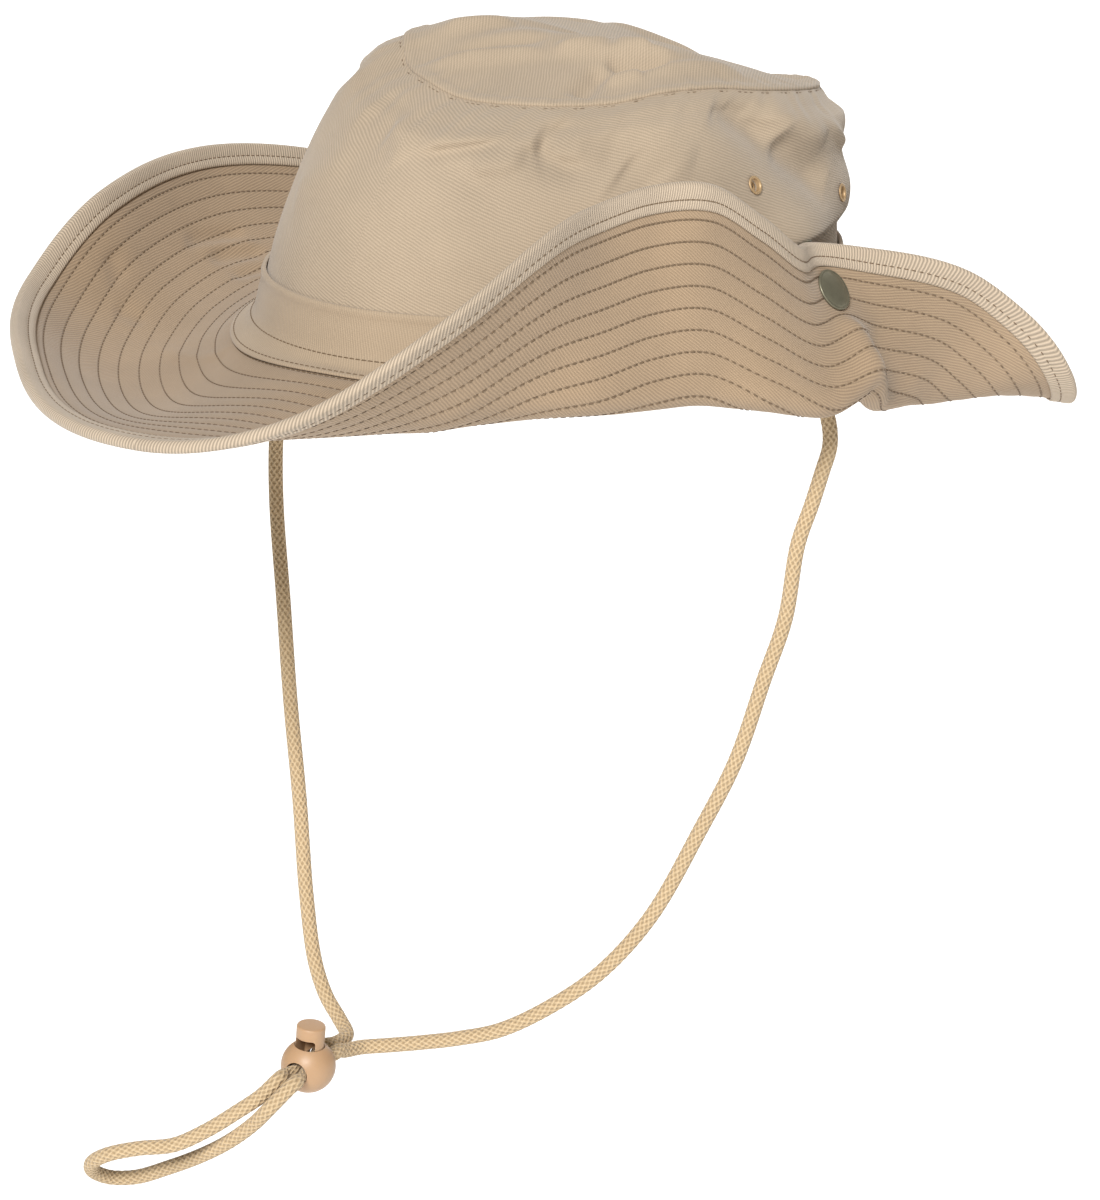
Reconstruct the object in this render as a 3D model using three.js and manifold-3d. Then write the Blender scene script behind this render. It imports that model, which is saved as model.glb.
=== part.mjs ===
// Bush hat in cotton twill: soft crown, wide stitched brim turned up at the sides, chin cord with a lock.
// Millimetres, +Z up. The front of the hat faces -Y and the wearer's left is +X.
// The origin is the middle of the head opening, at the height of the seam between crown and brim.
import * as THREE from 'three';
import { mergeVertices } from 'three/addons/utils/BufferGeometryUtils.js';
import Module from 'manifold-3d';

const wasm = await Module();
wasm.setup();

// Driving sizes
const HEAD_HALF_WIDTH = 83;
const HEAD_HALF_LENGTH = 101;
const GAP = 0.3;
const STATIONS = 60;

// Crown: the wall leans back from the head opening to the smaller tip
const CROWN_CLOTH = 1.4;
const TIP_HALF_WIDTH = 58;
const TIP_HALF_LENGTH = 73;
const TIP_SET_BACK = 31;
const TIP_HEIGHT = 75;
const TIP_DOME = 8;
const TIP_OVERHANG = 0.6;
const FOOT_HEIGHT = 25;
const FOOT_UP = 0.3;

// Brim: two layers of twill, bound at the edge
const BRIM_WIDTH = 84;
const BRIM_CLOTH = 2;
const BRIM_ROOT = 1.4;
const ROOT_BEND = 7;
const TAPE_WIDTH = 7.5;
const TAPE_CLOTH = 0.8;

// Bands at the foot of the crown
const BAND_HEIGHT = 19;
const BAND_CLOTH = 1;
const SWEATBAND_LOW = -11;
const SWEATBAND_HIGH = 24;
const SWEATBAND_CLOTH = 1;

// Metal fittings
const EYELET = { hole: 1.1, barrel: 1.7, flange: 2.9, height: 0.5 };
const SNAP_ANGLE = 99;
const SNAP = { lift: 0.4, cap: 6.7, dome: 1.5, rim: 0.7, post: 1.9, socket: 4.6, socketHeight: 1.3 };
const STUD = { radius: 3.6, height: 1.3, up: 0.36 };

// Chin cord and its ball lock
const CORD_DIAMETER = 4.8;
const CORD_SIDES = 8;
const CORD_STEP = 11;
const BALL_RADIUS = 8.75;
const LOCK_PLACE = new THREE.Vector3(-33, -80, -236);
const LOCK_TURN = { pitch: 3, lean: 7, yaw: 13 };
const BUTTON_RADIUS = 4.6;
const BUTTON_LOW = -4;
const BUTTON_HIGH = 14.4;
const BUTTON_TRAVEL = 2.4;
const STRAIGHT_LEAD = 5;
const SQUEEZED = { halfWidth: 1.45, halfHeight: 2.2, aside: 1.6, halfLength: 9.2 };

const COLOURS = {
  twill: 0xc9b08a,
  brim: 0xb79b74,
  tape: 0xcdb892,
  band: 0xc4a983,
  sweatband: 0xcbb794,
  brass: 0xe1c8a0,
  nickel: 0x7c7c70,
  cord: 0xdcc298,
  ball: 0xdcb38e,
};

// The brim round the hat. Angle 0 is the front, 90 the wearer's left, 180 the back.
// droop: slope of the root. foldStart, foldEnd: where the brim turns up, measured out from the crown.
// rise: slope past the fold. edge: slope at the edge. swing: how far the brim is pulled round the hat.
const BRIM_ROWS = [
  { angle: 0, droop: -12, foldStart: 9, foldEnd: 76, rise: 2, edge: 4, swing: 0 },
  { angle: 15, droop: -16, foldStart: 13, foldEnd: 62, rise: 17, edge: 17, swing: 0 },
  { angle: 30, droop: -23, foldStart: 9, foldEnd: 50, rise: 50, edge: 52, swing: 0 },
  { angle: 40, droop: -27, foldStart: 9, foldEnd: 38, rise: 71, edge: 75, swing: 0 },
  { angle: 50, droop: -30, foldStart: 10, foldEnd: 34, rise: 95, edge: 92, swing: 0 },
  { angle: 60, droop: -39, foldStart: 10, foldEnd: 26, rise: 97, edge: 92, swing: 0 },
  { angle: 70, droop: -50, foldStart: 9, foldEnd: 25, rise: 93, edge: 87, swing: 0 },
  { angle: 80, droop: -44, foldStart: 15, foldEnd: 35, rise: 108, edge: 88, swing: 0 },
  { angle: 90, droop: -41, foldStart: 24, foldEnd: 40, rise: 118, edge: 98, swing: 0 },
  { angle: 99, droop: -39, foldStart: 20, foldEnd: 47, rise: 132, edge: 114, swing: 0 },
  { angle: 108, droop: -56, foldStart: 26, foldEnd: 41, rise: 100, edge: 96, swing: 0 },
  { angle: 118, droop: -54, foldStart: 30, foldEnd: 44, rise: 72, edge: 66, swing: 0 },
  { angle: 124, droop: -50, foldStart: 33, foldEnd: 50, rise: 50, edge: 46, swing: -2 },
  { angle: 130, droop: -43, foldStart: 33, foldEnd: 60, rise: 16, edge: 20, swing: -3 },
  { angle: 140, droop: -36, foldStart: 26, foldEnd: 76, rise: -10, edge: -9, swing: -5 },
  { angle: 155, droop: -34, foldStart: 15, foldEnd: 72, rise: -23, edge: -13, swing: -3 },
  { angle: 180, droop: -24, foldStart: 14, foldEnd: 78, rise: -14, edge: -14, swing: 0 },
  { angle: 210, droop: -20, foldStart: 14, foldEnd: 78, rise: 0, edge: 0, swing: 0 },
  { angle: 235, droop: -18, foldStart: 10, foldEnd: 78, rise: 26, edge: 26, swing: 0 },
  { angle: 250, droop: -18, foldStart: 6, foldEnd: 78, rise: 52, edge: 52, swing: 0 },
  { angle: 270, droop: -12, foldStart: 3, foldEnd: 79, rise: 59, edge: 67, swing: 0 },
  { angle: 290, droop: -22, foldStart: 6, foldEnd: 74, rise: 60, edge: 59, swing: 0 },
  { angle: 305, droop: -31, foldStart: 8, foldEnd: 75, rise: 41, edge: 39, swing: 0 },
  { angle: 330, droop: -42, foldStart: 7, foldEnd: 71, rise: 33, edge: 28, swing: 0 },
];

// Height of the tip seam round the hat: it sags at the front left and falls to the back
const TIP_ROWS = [
  { angle: 0, height: 74 },
  { angle: 20, height: 73.5 },
  { angle: 45, height: 74 },
  { angle: 60, height: 76.5 },
  { angle: 75, height: 76 },
  { angle: 90, height: 73 },
  { angle: 120, height: 67.5 },
  { angle: 150, height: 63.5 },
  { angle: 180, height: 60 },
  { angle: 225, height: 68 },
  { angle: 270, height: 79 },
  { angle: 315, height: 85 },
  { angle: 330, height: 79 },
  { angle: 345, height: 77 },
];

// The crown's wall from the head opening (up 0) to the tip seam (up 1): how far it has moved to the tip's outline
const WALL_ROWS = [
  { up: 0, inward: 0 },
  { up: FOOT_UP, inward: 0.12 },
  { up: 0.42, inward: 0.18 },
  { up: 0.6, inward: 0.29 },
  { up: 0.72, inward: 0.38 },
  { up: 0.88, inward: 0.55 },
  { up: 0.95, inward: 0.66 },
  { up: 1, inward: 0.97 },
];

// Dents (out below zero) and puffs in the crown's wall: place, depth, spread, and how they slant up round the hat
const CROWN_FOLDS = [
  { angle: 48, up: 0.84, out: -4, wide: 10, tall: 0.1, slant: 0.002 },
  { angle: 22, up: 0.76, out: -2, wide: 12, tall: 0.06, slant: -0.006 },
  { angle: 95, up: 0.8, out: -4, wide: 20, tall: 0.12, slant: -0.012 },
  { angle: 70, up: 0.6, out: 2, wide: 22, tall: 0.2, slant: 0 },
  { angle: 350, up: 0.8, out: -2.5, wide: 12, tall: 0.14, slant: 0 },
  { angle: 138, up: 0.5, out: 5, wide: 26, tall: 0.22, slant: 0 },
  { angle: 134, up: 0.88, out: 5, wide: 24, tall: 0.14, slant: 0 },
  { angle: 99, up: 0.34, out: 6, wide: 14, tall: 0.18, slant: 0 },
  { angle: 215, up: 0.78, out: -3, wide: 16, tall: 0.14, slant: 0.004 },
  { angle: 280, up: 0.7, out: -4, wide: 18, tall: 0.14, slant: -0.004 },
  { angle: 311, up: 0.8, out: -1.8, wide: 28, tall: 0.3, slant: 0 },
];

// Puffs and hollows in the tip, in millimetres from its middle; turn is the long side's angle from +X
const TIP_FOLDS = [
  { x: -8, y: -34, lift: 5, long: 34, wide: 22, turn: 10 },
  { x: 22, y: -20, lift: 3, long: 40, wide: 9, turn: 35 },
  { x: 14, y: 24, lift: -5, long: 42, wide: 12, turn: 60 },
  { x: -24, y: 30, lift: 5, long: 34, wide: 14, turn: 70 },
  { x: 12, y: 44, lift: -6, long: 44, wide: 22, turn: 20 },
];

// Both strands of the chin cord and its tail, each from its first end to its last
const LEFT_STRAND = [
  [81, 16.5, -6.7], [84, 17.5, -7.2], [87.5, 20, -12.5], [89.5, 22.5, -19], [91, 24, -25], [91, 25, -33],
  [88.5, 24.5, -42], [86, 23, -52], [83, 20, -65], [80, 18, -89], [75, 14, -109], [69, 8, -135],
  [60, 2, -158], [47, -7, -188], [34, -16, -207], [21, -25, -219], [7, -33, -228], [-5, -39, -232],
  [-17, -44, -235], [-28, -48, -237.5], [-34, -53.5, -238], [-34.5, -61, -237],
];
const RIGHT_STRAND = [
  [-81.8, -6, -6.7], [-85.5, -6.3, -7], [-91.5, -7.2, -11], [-98, -8.5, -20], [-103, -9.5, -31],
  [-106.5, -10, -44], [-108, -10.5, -58], [-105, -14, -77], [-96, -21, -107], [-87, -28, -138],
  [-78, -34, -168], [-68, -42, -198], [-61, -46, -217], [-55, -47.5, -227], [-48.5, -48.5, -233],
  [-42, -52, -236], [-39.3, -60, -236],
];
const TAIL = [
  [-36, -99, -241.5], [-42, -104, -247], [-50, -109, -253.5], [-59, -115, -259],
  [-69, -121, -261], [-78, -125, -264], [-86, -124.5, -269], [-91, -119.5, -275], [-90, -113, -279],
  [-83, -108.5, -278.5], [-71, -105, -273], [-59, -103, -266.5], [-47.5, -102, -259], [-38, -100.5, -251],
  [-31, -99.5, -243.5],
];

const CROWN_LOW = BRIM_CLOTH / 2 + GAP;
const radians = THREE.MathUtils.degToRad;
const smooth = (value) => THREE.MathUtils.smoothstep(value, 0, 1);

// Values between a table's rows

function around(rows, angle) {
  const turn = ((angle % 360) + 360) % 360;
  const count = rows.length;
  let k = count - 1;
  while (k > 0 && rows[k].angle > turn) {
    k -= 1;
  }
  const at = (step) => rows[(k + step + count) % count];
  const angleAt = (step) => at(step).angle + 360 * Math.floor((k + step) / count);
  const span = angleAt(1) - angleAt(0);
  const t = (turn - angleAt(0)) / span;
  const row = {};
  Object.keys(rows[0]).forEach((column) => {
    const before = at(0)[column];
    const after = at(1)[column];
    const slopeBefore = (after - at(-1)[column]) / (angleAt(1) - angleAt(-1));
    const slopeAfter = (at(2)[column] - before) / (angleAt(2) - angleAt(0));
    row[column] = before * (1 + 2 * t) * (1 - t) ** 2 + after * t * t * (3 - 2 * t)
      + span * (slopeBefore * t * (1 - t) ** 2 - slopeAfter * t * t * (1 - t));
  });
  return row;
}

function wallInward(up) {
  const k = Math.max(1, WALL_ROWS.findIndex((row) => row.up >= up));
  const below = WALL_ROWS[k - 1];
  const above = WALL_ROWS[k];
  return THREE.MathUtils.mapLinear(up, below.up, above.up, below.inward, above.inward);
}

// Places on the hat's cloth

function headOpening(angle) {
  const turn = radians(angle);
  const point = new THREE.Vector3(HEAD_HALF_WIDTH * Math.sin(turn), -HEAD_HALF_LENGTH * Math.cos(turn), 0);
  const outward = new THREE.Vector3(Math.sin(turn) / HEAD_HALF_WIDTH, -Math.cos(turn) / HEAD_HALF_LENGTH, 0);
  return { point, outward: outward.normalize() };
}

function brimSlope(row, along) {
  const root = row.droop * smooth(along / ROOT_BEND);
  const fold = smooth((along - row.foldStart) / (row.foldEnd - row.foldStart));
  const past = THREE.MathUtils.clamp((along - row.foldEnd) / (BRIM_WIDTH - row.foldEnd), 0, 1);
  return radians(root + (row.rise - row.droop) * fold + (row.edge - row.rise) * past);
}

// A point of the brim: `along` out from the crown, `above` the middle of the cloth
function brimPoint(angle, along, above) {
  const row = around(BRIM_ROWS, angle);
  const { point, outward } = headOpening(angle);
  const heading = outward.applyAxisAngle(new THREE.Vector3(0, 0, 1), radians(row.swing));
  const steps = Math.max(1, Math.round(Math.abs(along) / 2));
  let out = 0;
  let up = 0;
  for (let i = 0; i < steps; i += 1) {
    const slope = brimSlope(row, (along * (i + 0.5)) / steps);
    out += (Math.cos(slope) * along) / steps;
    up += (Math.sin(slope) * along) / steps;
  }
  const slope = brimSlope(row, along);
  point.addScaledVector(heading, out - above * Math.sin(slope));
  point.z = up + above * Math.cos(slope);
  return point;
}

function tipOutline(angle) {
  const turn = radians(angle);
  return new THREE.Vector3(
    TIP_HALF_WIDTH * Math.sin(turn),
    TIP_SET_BACK - TIP_HALF_LENGTH * Math.cos(turn),
    around(TIP_ROWS, angle).height,
  );
}

function crownFold(angle, up) {
  let out = 0;
  CROWN_FOLDS.forEach((fold) => {
    const turn = THREE.MathUtils.euclideanModulo(angle - fold.angle + 180, 360) - 180;
    const side = turn / fold.wide;
    const rise = (up - fold.up - fold.slant * turn) / fold.tall;
    out += fold.out * Math.exp(-side * side - rise * rise);
  });
  return out;
}

// The crown's outer face, from the head opening (up 0) to just under the tip's edge (up 1); its foot is straight
function crownFace(angle, up) {
  const { point, outward } = headOpening(angle);
  const top = tipOutline(angle);
  const height = top.z - CROWN_CLOTH - 2 * GAP;
  const ends = smooth((up - FOOT_UP) / 0.1) * smooth((1 - up) / 0.1);
  point.lerp(new THREE.Vector3(top.x, top.y, 0), wallInward(up));
  point.addScaledVector(outward, crownFold(angle, up) * ends);
  point.z = up < FOOT_UP
    ? THREE.MathUtils.mapLinear(up, 0, FOOT_UP, CROWN_LOW, FOOT_HEIGHT)
    : THREE.MathUtils.mapLinear(up, FOOT_UP, 1, FOOT_HEIGHT, height);
  return point;
}

// The tip's outer face, from its middle (part 0) to the seam (part 1)
function tipFace(angle, part) {
  const edge = tipOutline(angle);
  const middle = new THREE.Vector3(0, TIP_SET_BACK, TIP_HEIGHT);
  const point = middle.lerp(edge, part);
  const dome = (1 - part ** 2.4);
  let lift = TIP_DOME * dome;
  TIP_FOLDS.forEach((fold) => {
    const x = point.x - fold.x;
    const y = point.y - TIP_SET_BACK - fold.y;
    const turn = radians(fold.turn);
    const far = (x * Math.cos(turn) + y * Math.sin(turn)) / fold.long;
    const side = (y * Math.cos(turn) - x * Math.sin(turn)) / fold.wide;
    lift += fold.lift * Math.exp(-far * far - side * side) * smooth((1 - part) / 0.25);
  });
  const { outward } = headOpening(angle);
  point.addScaledVector(outward, TIP_OVERHANG * part ** 4);
  point.z += lift;
  return point;
}

// The direction square to a face, pointing away from the middle of the hat
function squareTo(face, angle, part) {
  const step = 0.01;
  const turn = 1;
  const low = Math.max(0.001, part - step);
  const high = Math.min(1, part + step);
  const round = face(angle + turn, part).sub(face(angle - turn, part));
  const rise = face(angle, high).sub(face(angle, low));
  return round.cross(rise).normalize();
}

function crownPoint(angle, up, out) {
  const square = squareTo(crownFace, angle, up);
  square.z *= smooth(up / 0.1);
  return crownFace(angle, up).addScaledVector(square, out);
}

function tipPoint(angle, part, out) {
  const point = tipFace(angle, part);
  point.z += out;
  return point;
}

// A point of the strips at the crown's foot: millimetres above the head opening, and out from the crown's face
function footPoint(angle, height, out) {
  const { outward } = headOpening(angle);
  const up = FOOT_UP * Math.max(0, (height - CROWN_LOW) / (FOOT_HEIGHT - CROWN_LOW));
  const point = crownFace(angle, up).addScaledVector(outward, out);
  point.z = height;
  return point;
}

// Solids

// A closed section carried round the hat; `place` bends each of its points to the cloth's shape.
// The edges that run back are split along the other diagonal, so that a sheet's two faces stay parallel.
function wrapped(section, place) {
  const profile = section.map(([u, v]) => new THREE.Vector2(u, v));
  const geometry = new THREE.LatheGeometry(profile, STATIONS);
  const position = geometry.attributes.position;
  for (let i = 0; i <= STATIONS; i += 1) {
    const angle = ((i % STATIONS) * 360) / STATIONS;
    section.forEach(([u, v], j) => {
      const point = place(angle, u, v);
      position.setXYZ(i * section.length + j, point.x, point.y, point.z);
    });
  }
  const quads = section.length - 1;
  const { index } = geometry;
  for (let k = 0; k < STATIONS * quads; k += 1) {
    const edge = k % quads;
    if (section[edge + 1][0] < section[edge][0]) {
      const [a, b, d] = [index.getX(6 * k), index.getX(6 * k + 1), index.getX(6 * k + 2)];
      const c = index.getX(6 * k + 3);
      [a, b, c, a, c, d].forEach((corner, i) => index.setX(6 * k + i, corner));
    }
  }
  geometry.computeVertexNormals();
  return geometry;
}

// A loop out along one face of the cloth and back along the other
function sheetSection(stations, outer, inner) {
  const there = stations.map((station) => [station, outer]);
  const back = stations.map((station) => [station, inner]).reverse();
  return [...there, ...back, there[0]];
}

// A turned piece about +Z, from a profile of [radius, height] pairs
function turned(profile, sides) {
  const points = profile.map(([radius, height]) => new THREE.Vector2(radius, height));
  return new THREE.LatheGeometry(points, sides).rotateX(Math.PI / 2);
}

function solidOf(geometry) {
  const bare = geometry.clone();
  bare.deleteAttribute('normal');
  bare.deleteAttribute('uv');
  const merged = mergeVertices(bare.index ? bare : mergeVertices(bare), 1e-4);
  return new wasm.Manifold(new wasm.Mesh({
    numProp: 3,
    vertProperties: new Float32Array(merged.attributes.position.array),
    triVerts: new Uint32Array(merged.index.array),
  }));
}

function geometryOf(solid) {
  const mesh = solid.getMesh();
  const geometry = new THREE.BufferGeometry();
  geometry.setAttribute('position', new THREE.BufferAttribute(new Float32Array(mesh.vertProperties), 3));
  geometry.setIndex(new THREE.BufferAttribute(new Uint32Array(mesh.triVerts), 1));
  geometry.computeVertexNormals();
  return geometry;
}

function cutFrom(geometry, cutters) {
  return geometryOf(cutters.reduce((solid, cutter) => solid.subtract(solidOf(cutter)), solidOf(geometry)));
}

// A place on the cloth with +Z square to it
function standingOn(point, direction) {
  const turn = new THREE.Quaternion().setFromUnitVectors(new THREE.Vector3(0, 0, 1), direction);
  return new THREE.Matrix4().compose(point, turn, new THREE.Vector3(1, 1, 1));
}

// The middle of one flat facet of the cloth, between two stations round the hat and two places across it
function facetFrame(face, angle, low, high) {
  const half = 180 / STATIONS;
  const corners = [[-half, low], [half, low], [half, high], [-half, high]];
  const [a, b, c, d] = corners.map(([turn, place]) => face(angle + turn, place, 0));
  const middle = a.clone().add(b).add(c).add(d).divideScalar(4);
  return standingOn(middle, c.sub(a).cross(d.sub(b)).normalize());
}

function plug(radius, length, sides) {
  return new THREE.CylinderGeometry(radius, radius, length, sides).rotateX(Math.PI / 2);
}

const group = new THREE.Group();

function add(name, geometry, colour, roughness, metalness, parent = group) {
  const material = new THREE.MeshStandardMaterial({ color: colour, roughness, metalness });
  const mesh = new THREE.Mesh(geometry, material);
  mesh.name = name;
  parent.add(mesh);
  return mesh;
}

// Eyelets: two on each side of the crown, between the band and the tip
const EYELET_PLACES = [
  { name: 'eyelet_left_front', angle: 87, row: 3 },
  { name: 'eyelet_left_back', angle: 123, row: 2 },
  { name: 'eyelet_right_front', angle: 273, row: 3 },
  { name: 'eyelet_right_back', angle: 237, row: 2 },
];
const eyeletFrames = EYELET_PLACES.map(({ angle, row }) => (
  facetFrame(crownFace, angle, WALL_ROWS[row].up, WALL_ROWS[row + 1].up)
));

function addEyelets() {
  const low = -CROWN_CLOTH - GAP - EYELET.height;
  const high = GAP + EYELET.height;
  const profile = [
    [EYELET.hole, low], [EYELET.flange, low], [EYELET.flange, low + EYELET.height],
    [EYELET.barrel, low + EYELET.height], [EYELET.barrel, GAP], [EYELET.flange, GAP],
    [EYELET.flange - 0.4, high], [EYELET.hole, high], [EYELET.hole, low],
  ];
  EYELET_PLACES.forEach(({ name }, i) => {
    add(name, turned(profile, 10).applyMatrix4(eyeletFrames[i]), COLOURS.brass, 0.4, 0.7);
  });
}

function addCrown() {
  const stations = WALL_ROWS.map((row) => row.up);
  const wall = wrapped(sheetSection(stations, 0, -CROWN_CLOTH), crownPoint);
  const holes = eyeletFrames.map((frame) => plug(EYELET.barrel + GAP, 12, 10).applyMatrix4(frame));
  add('crown_side', cutFrom(wall, holes), COLOURS.twill, 0.9, 0);

  const parts = [0, 0.14, 0.32, 0.52, 0.72, 0.9, 1];
  const under = parts.map((part) => [part, -CROWN_CLOTH]);
  const upper = parts.map((part) => [part, 0]).reverse();
  add('crown_tip', wrapped([...under, ...upper], tipPoint), COLOURS.twill, 0.9, 0);
}

// The snap: a cap outside the turned-up brim, its socket inside, and the stud that it meets on the crown
const BRIM_STATIONS = [-BRIM_ROOT, 5, 13, 21, 27, 33, 40, 49, 60, BRIM_WIDTH - TAPE_WIDTH, BRIM_WIDTH - 1.3];
const snapFrame = facetFrame(brimPoint, SNAP_ANGLE, BRIM_STATIONS[8], BRIM_STATIONS[9]);

function addBrim() {
  const sheet = wrapped(sheetSection(BRIM_STATIONS, -BRIM_CLOTH / 2, BRIM_CLOTH / 2), brimPoint);
  const hole = plug(SNAP.post + GAP, 8, 12).applyMatrix4(snapFrame);
  add('brim', cutFrom(sheet, [hole]), COLOURS.brim, 0.9, 0);

  const inner = BRIM_CLOTH / 2 + GAP + 0.2;
  const outer = inner + TAPE_CLOTH;
  const start = BRIM_WIDTH - TAPE_WIDTH;
  const end = BRIM_WIDTH - 1.3 + GAP;
  const tape = [
    [start, inner], [end, inner], [end, -inner], [start, -inner], [start, -outer],
    [end, -outer], [end + TAPE_CLOTH, 0], [end, outer], [start, outer], [start, inner],
  ];
  add('brim_binding', wrapped(tape, brimPoint), COLOURS.tape, 0.85, 0);
}

function addBands() {
  const clear = GAP + 0.1;
  const band = [
    [BAND_HEIGHT, clear], [4, clear], [2.1, clear + 3.4], [3, clear + 3.4],
    [6, clear + BAND_CLOTH], [BAND_HEIGHT, clear + BAND_CLOTH], [BAND_HEIGHT, clear],
  ];
  add('hat_band', wrapped(band, footPoint), COLOURS.band, 0.85, 0);

  const outside = -BRIM_ROOT - clear;
  const inside = outside - SWEATBAND_CLOTH;
  const lining = [
    [SWEATBAND_HIGH, outside], [SWEATBAND_HIGH, inside], [SWEATBAND_LOW, inside],
    [SWEATBAND_LOW, outside], [SWEATBAND_HIGH, outside],
  ];
  add('sweatband', wrapped(lining, footPoint), COLOURS.sweatband, 0.8, 0);
}

function addSnap() {
  const face = BRIM_CLOTH / 2 + GAP + SNAP.lift;
  const cap = [
    [0, face + SNAP.dome], [3.4, face + SNAP.dome - 0.25], [SNAP.cap - 0.6, face + SNAP.rim],
    [SNAP.cap, face + SNAP.rim / 2], [SNAP.cap, face], [SNAP.post, face], [SNAP.post, -face],
    [SNAP.socket, -face], [SNAP.socket, -face - SNAP.socketHeight], [0, -face - SNAP.socketHeight],
  ];
  add('snap_cap', turned(cap.reverse(), 16).applyMatrix4(snapFrame), COLOURS.nickel, 0.35, 0.9);

  const direction = squareTo(crownFace, SNAP_ANGLE, STUD.up);
  const stud = [[0, GAP], [STUD.radius, GAP], [STUD.radius - 0.4, GAP + STUD.height], [0, GAP + STUD.height]];
  const frame = standingOn(crownFace(SNAP_ANGLE, STUD.up), direction);
  add('snap_stud', turned(stud, 14).applyMatrix4(frame), COLOURS.nickel, 0.35, 0.9);
}

// Chin cord

const lock = new THREE.Group();
lock.name = 'cord_lock';
lock.position.copy(LOCK_PLACE);
lock.rotation.set(radians(LOCK_TURN.pitch), radians(LOCK_TURN.lean), radians(LOCK_TURN.yaw), 'ZYX');
lock.updateMatrix();
group.add(lock);

// Where a strand of full thickness runs straight into the lock, from `before` it to its mouth:
// side +1 is the left strand, end +1 the back of the ball
function lockMouth(side, end, before = 0) {
  const aside = CORD_DIAMETER / 2 + GAP;
  const place = new THREE.Vector3(side * aside, end * (SQUEEZED.halfLength + GAP + before), 0);
  return place.applyMatrix4(lock.matrix);
}

function cordTube(points) {
  const route = new THREE.CatmullRomCurve3(points);
  const section = new THREE.Shape();
  for (let i = 0; i < CORD_SIDES; i += 1) {
    const turn = (i / CORD_SIDES) * Math.PI * 2;
    const corner = [(Math.cos(turn) * CORD_DIAMETER) / 2, (Math.sin(turn) * CORD_DIAMETER) / 2];
    if (i === 0) {
      section.moveTo(...corner);
    } else {
      section.lineTo(...corner);
    }
  }
  const steps = Math.round(route.getLength() / CORD_STEP);
  return new THREE.ExtrudeGeometry(section, { steps, extrudePath: route, bevelEnabled: false });
}

function addCord() {
  const vectors = (route) => route.map((place) => new THREE.Vector3(...place));
  const into = (side, end) => [lockMouth(side, end, STRAIGHT_LEAD), lockMouth(side, end)];
  const strands = {
    chin_cord_left: [...vectors(LEFT_STRAND), ...into(1, 1)],
    chin_cord_right: [...vectors(RIGHT_STRAND), ...into(-1, 1)],
    chin_cord_tail: [...into(-1, -1).reverse(), ...vectors(TAIL), ...into(1, -1)],
  };
  Object.entries(strands).forEach(([name, route]) => {
    add(name, cordTube(route), COLOURS.cord, 0.9, 0);
  });

  const oval = new THREE.Shape().absellipse(0, 0, SQUEEZED.halfWidth, SQUEEZED.halfHeight, 0, Math.PI * 2);
  [['chin_cord_lock_left', 1], ['chin_cord_lock_right', -1]].forEach(([name, side]) => {
    const depth = 2 * SQUEEZED.halfLength;
    const squeezed = new THREE.ExtrudeGeometry(oval, { depth, bevelEnabled: false, curveSegments: 6 });
    squeezed.rotateX(Math.PI / 2).translate(side * SQUEEZED.aside, depth / 2, 0);
    add(name, squeezed, COLOURS.cord, 0.9, 0, lock);
  });
}

// Cord lock: a ball with a slot for both strands, and a spring button whose window pinches them

function slotCutter(halfWidth, low, high, length) {
  const corner = 1.1;
  const outline = new THREE.Shape();
  outline.moveTo(-halfWidth, low + corner);
  outline.lineTo(-halfWidth, high - corner);
  outline.lineTo(-halfWidth + corner, high);
  outline.lineTo(halfWidth - corner, high);
  outline.lineTo(halfWidth, high - corner);
  outline.lineTo(halfWidth, low + corner);
  outline.lineTo(halfWidth - corner, low);
  outline.lineTo(-halfWidth + corner, low);
  outline.closePath();
  const cutter = new THREE.ExtrudeGeometry(outline, { depth: length, bevelEnabled: false });
  return cutter.rotateX(Math.PI / 2).translate(0, length / 2, 0);
}

function addLock() {
  const clearHeight = SQUEEZED.halfHeight + GAP + 0.1;
  const halfWidth = SQUEEZED.aside + SQUEEZED.halfWidth + GAP;
  const slot = slotCutter(halfWidth, -clearHeight, clearHeight, 3 * BALL_RADIUS);
  const boreLow = BUTTON_LOW - BUTTON_TRAVEL - GAP;
  const bore = plug(BUTTON_RADIUS + GAP, 2 * BALL_RADIUS, 20).translate(0, 0, boreLow + BALL_RADIUS);
  const ball = new THREE.SphereGeometry(BALL_RADIUS, 20, 12).rotateX(Math.PI / 2);
  add('cord_lock_ball', cutFrom(ball, [bore, slot]), COLOURS.ball, 0.5, 0, lock);

  const length = BUTTON_HIGH - BUTTON_LOW;
  const body = [
    [0, BUTTON_LOW], [BUTTON_RADIUS, BUTTON_LOW], [BUTTON_RADIUS, BUTTON_HIGH - 0.8],
    [BUTTON_RADIUS - 0.8, BUTTON_HIGH], [0, BUTTON_HIGH],
  ];
  const window = slotCutter(halfWidth, -clearHeight, clearHeight + BUTTON_TRAVEL, length);
  add('cord_lock_button', cutFrom(turned(body, 20), [window]), COLOURS.ball, 0.5, 0, lock);
}

addCrown();
addBrim();
addBands();
addEyelets();
addSnap();
addCord();
addLock();

export default group;
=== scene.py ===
"""Looks of a cotton bush hat: twill crown and stitched brim, bound edge, snap, eyelets, braided chin cord."""

import math

import bpy
import bmesh
import numpy as np
from mathutils import Euler, Matrix, Vector


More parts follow.
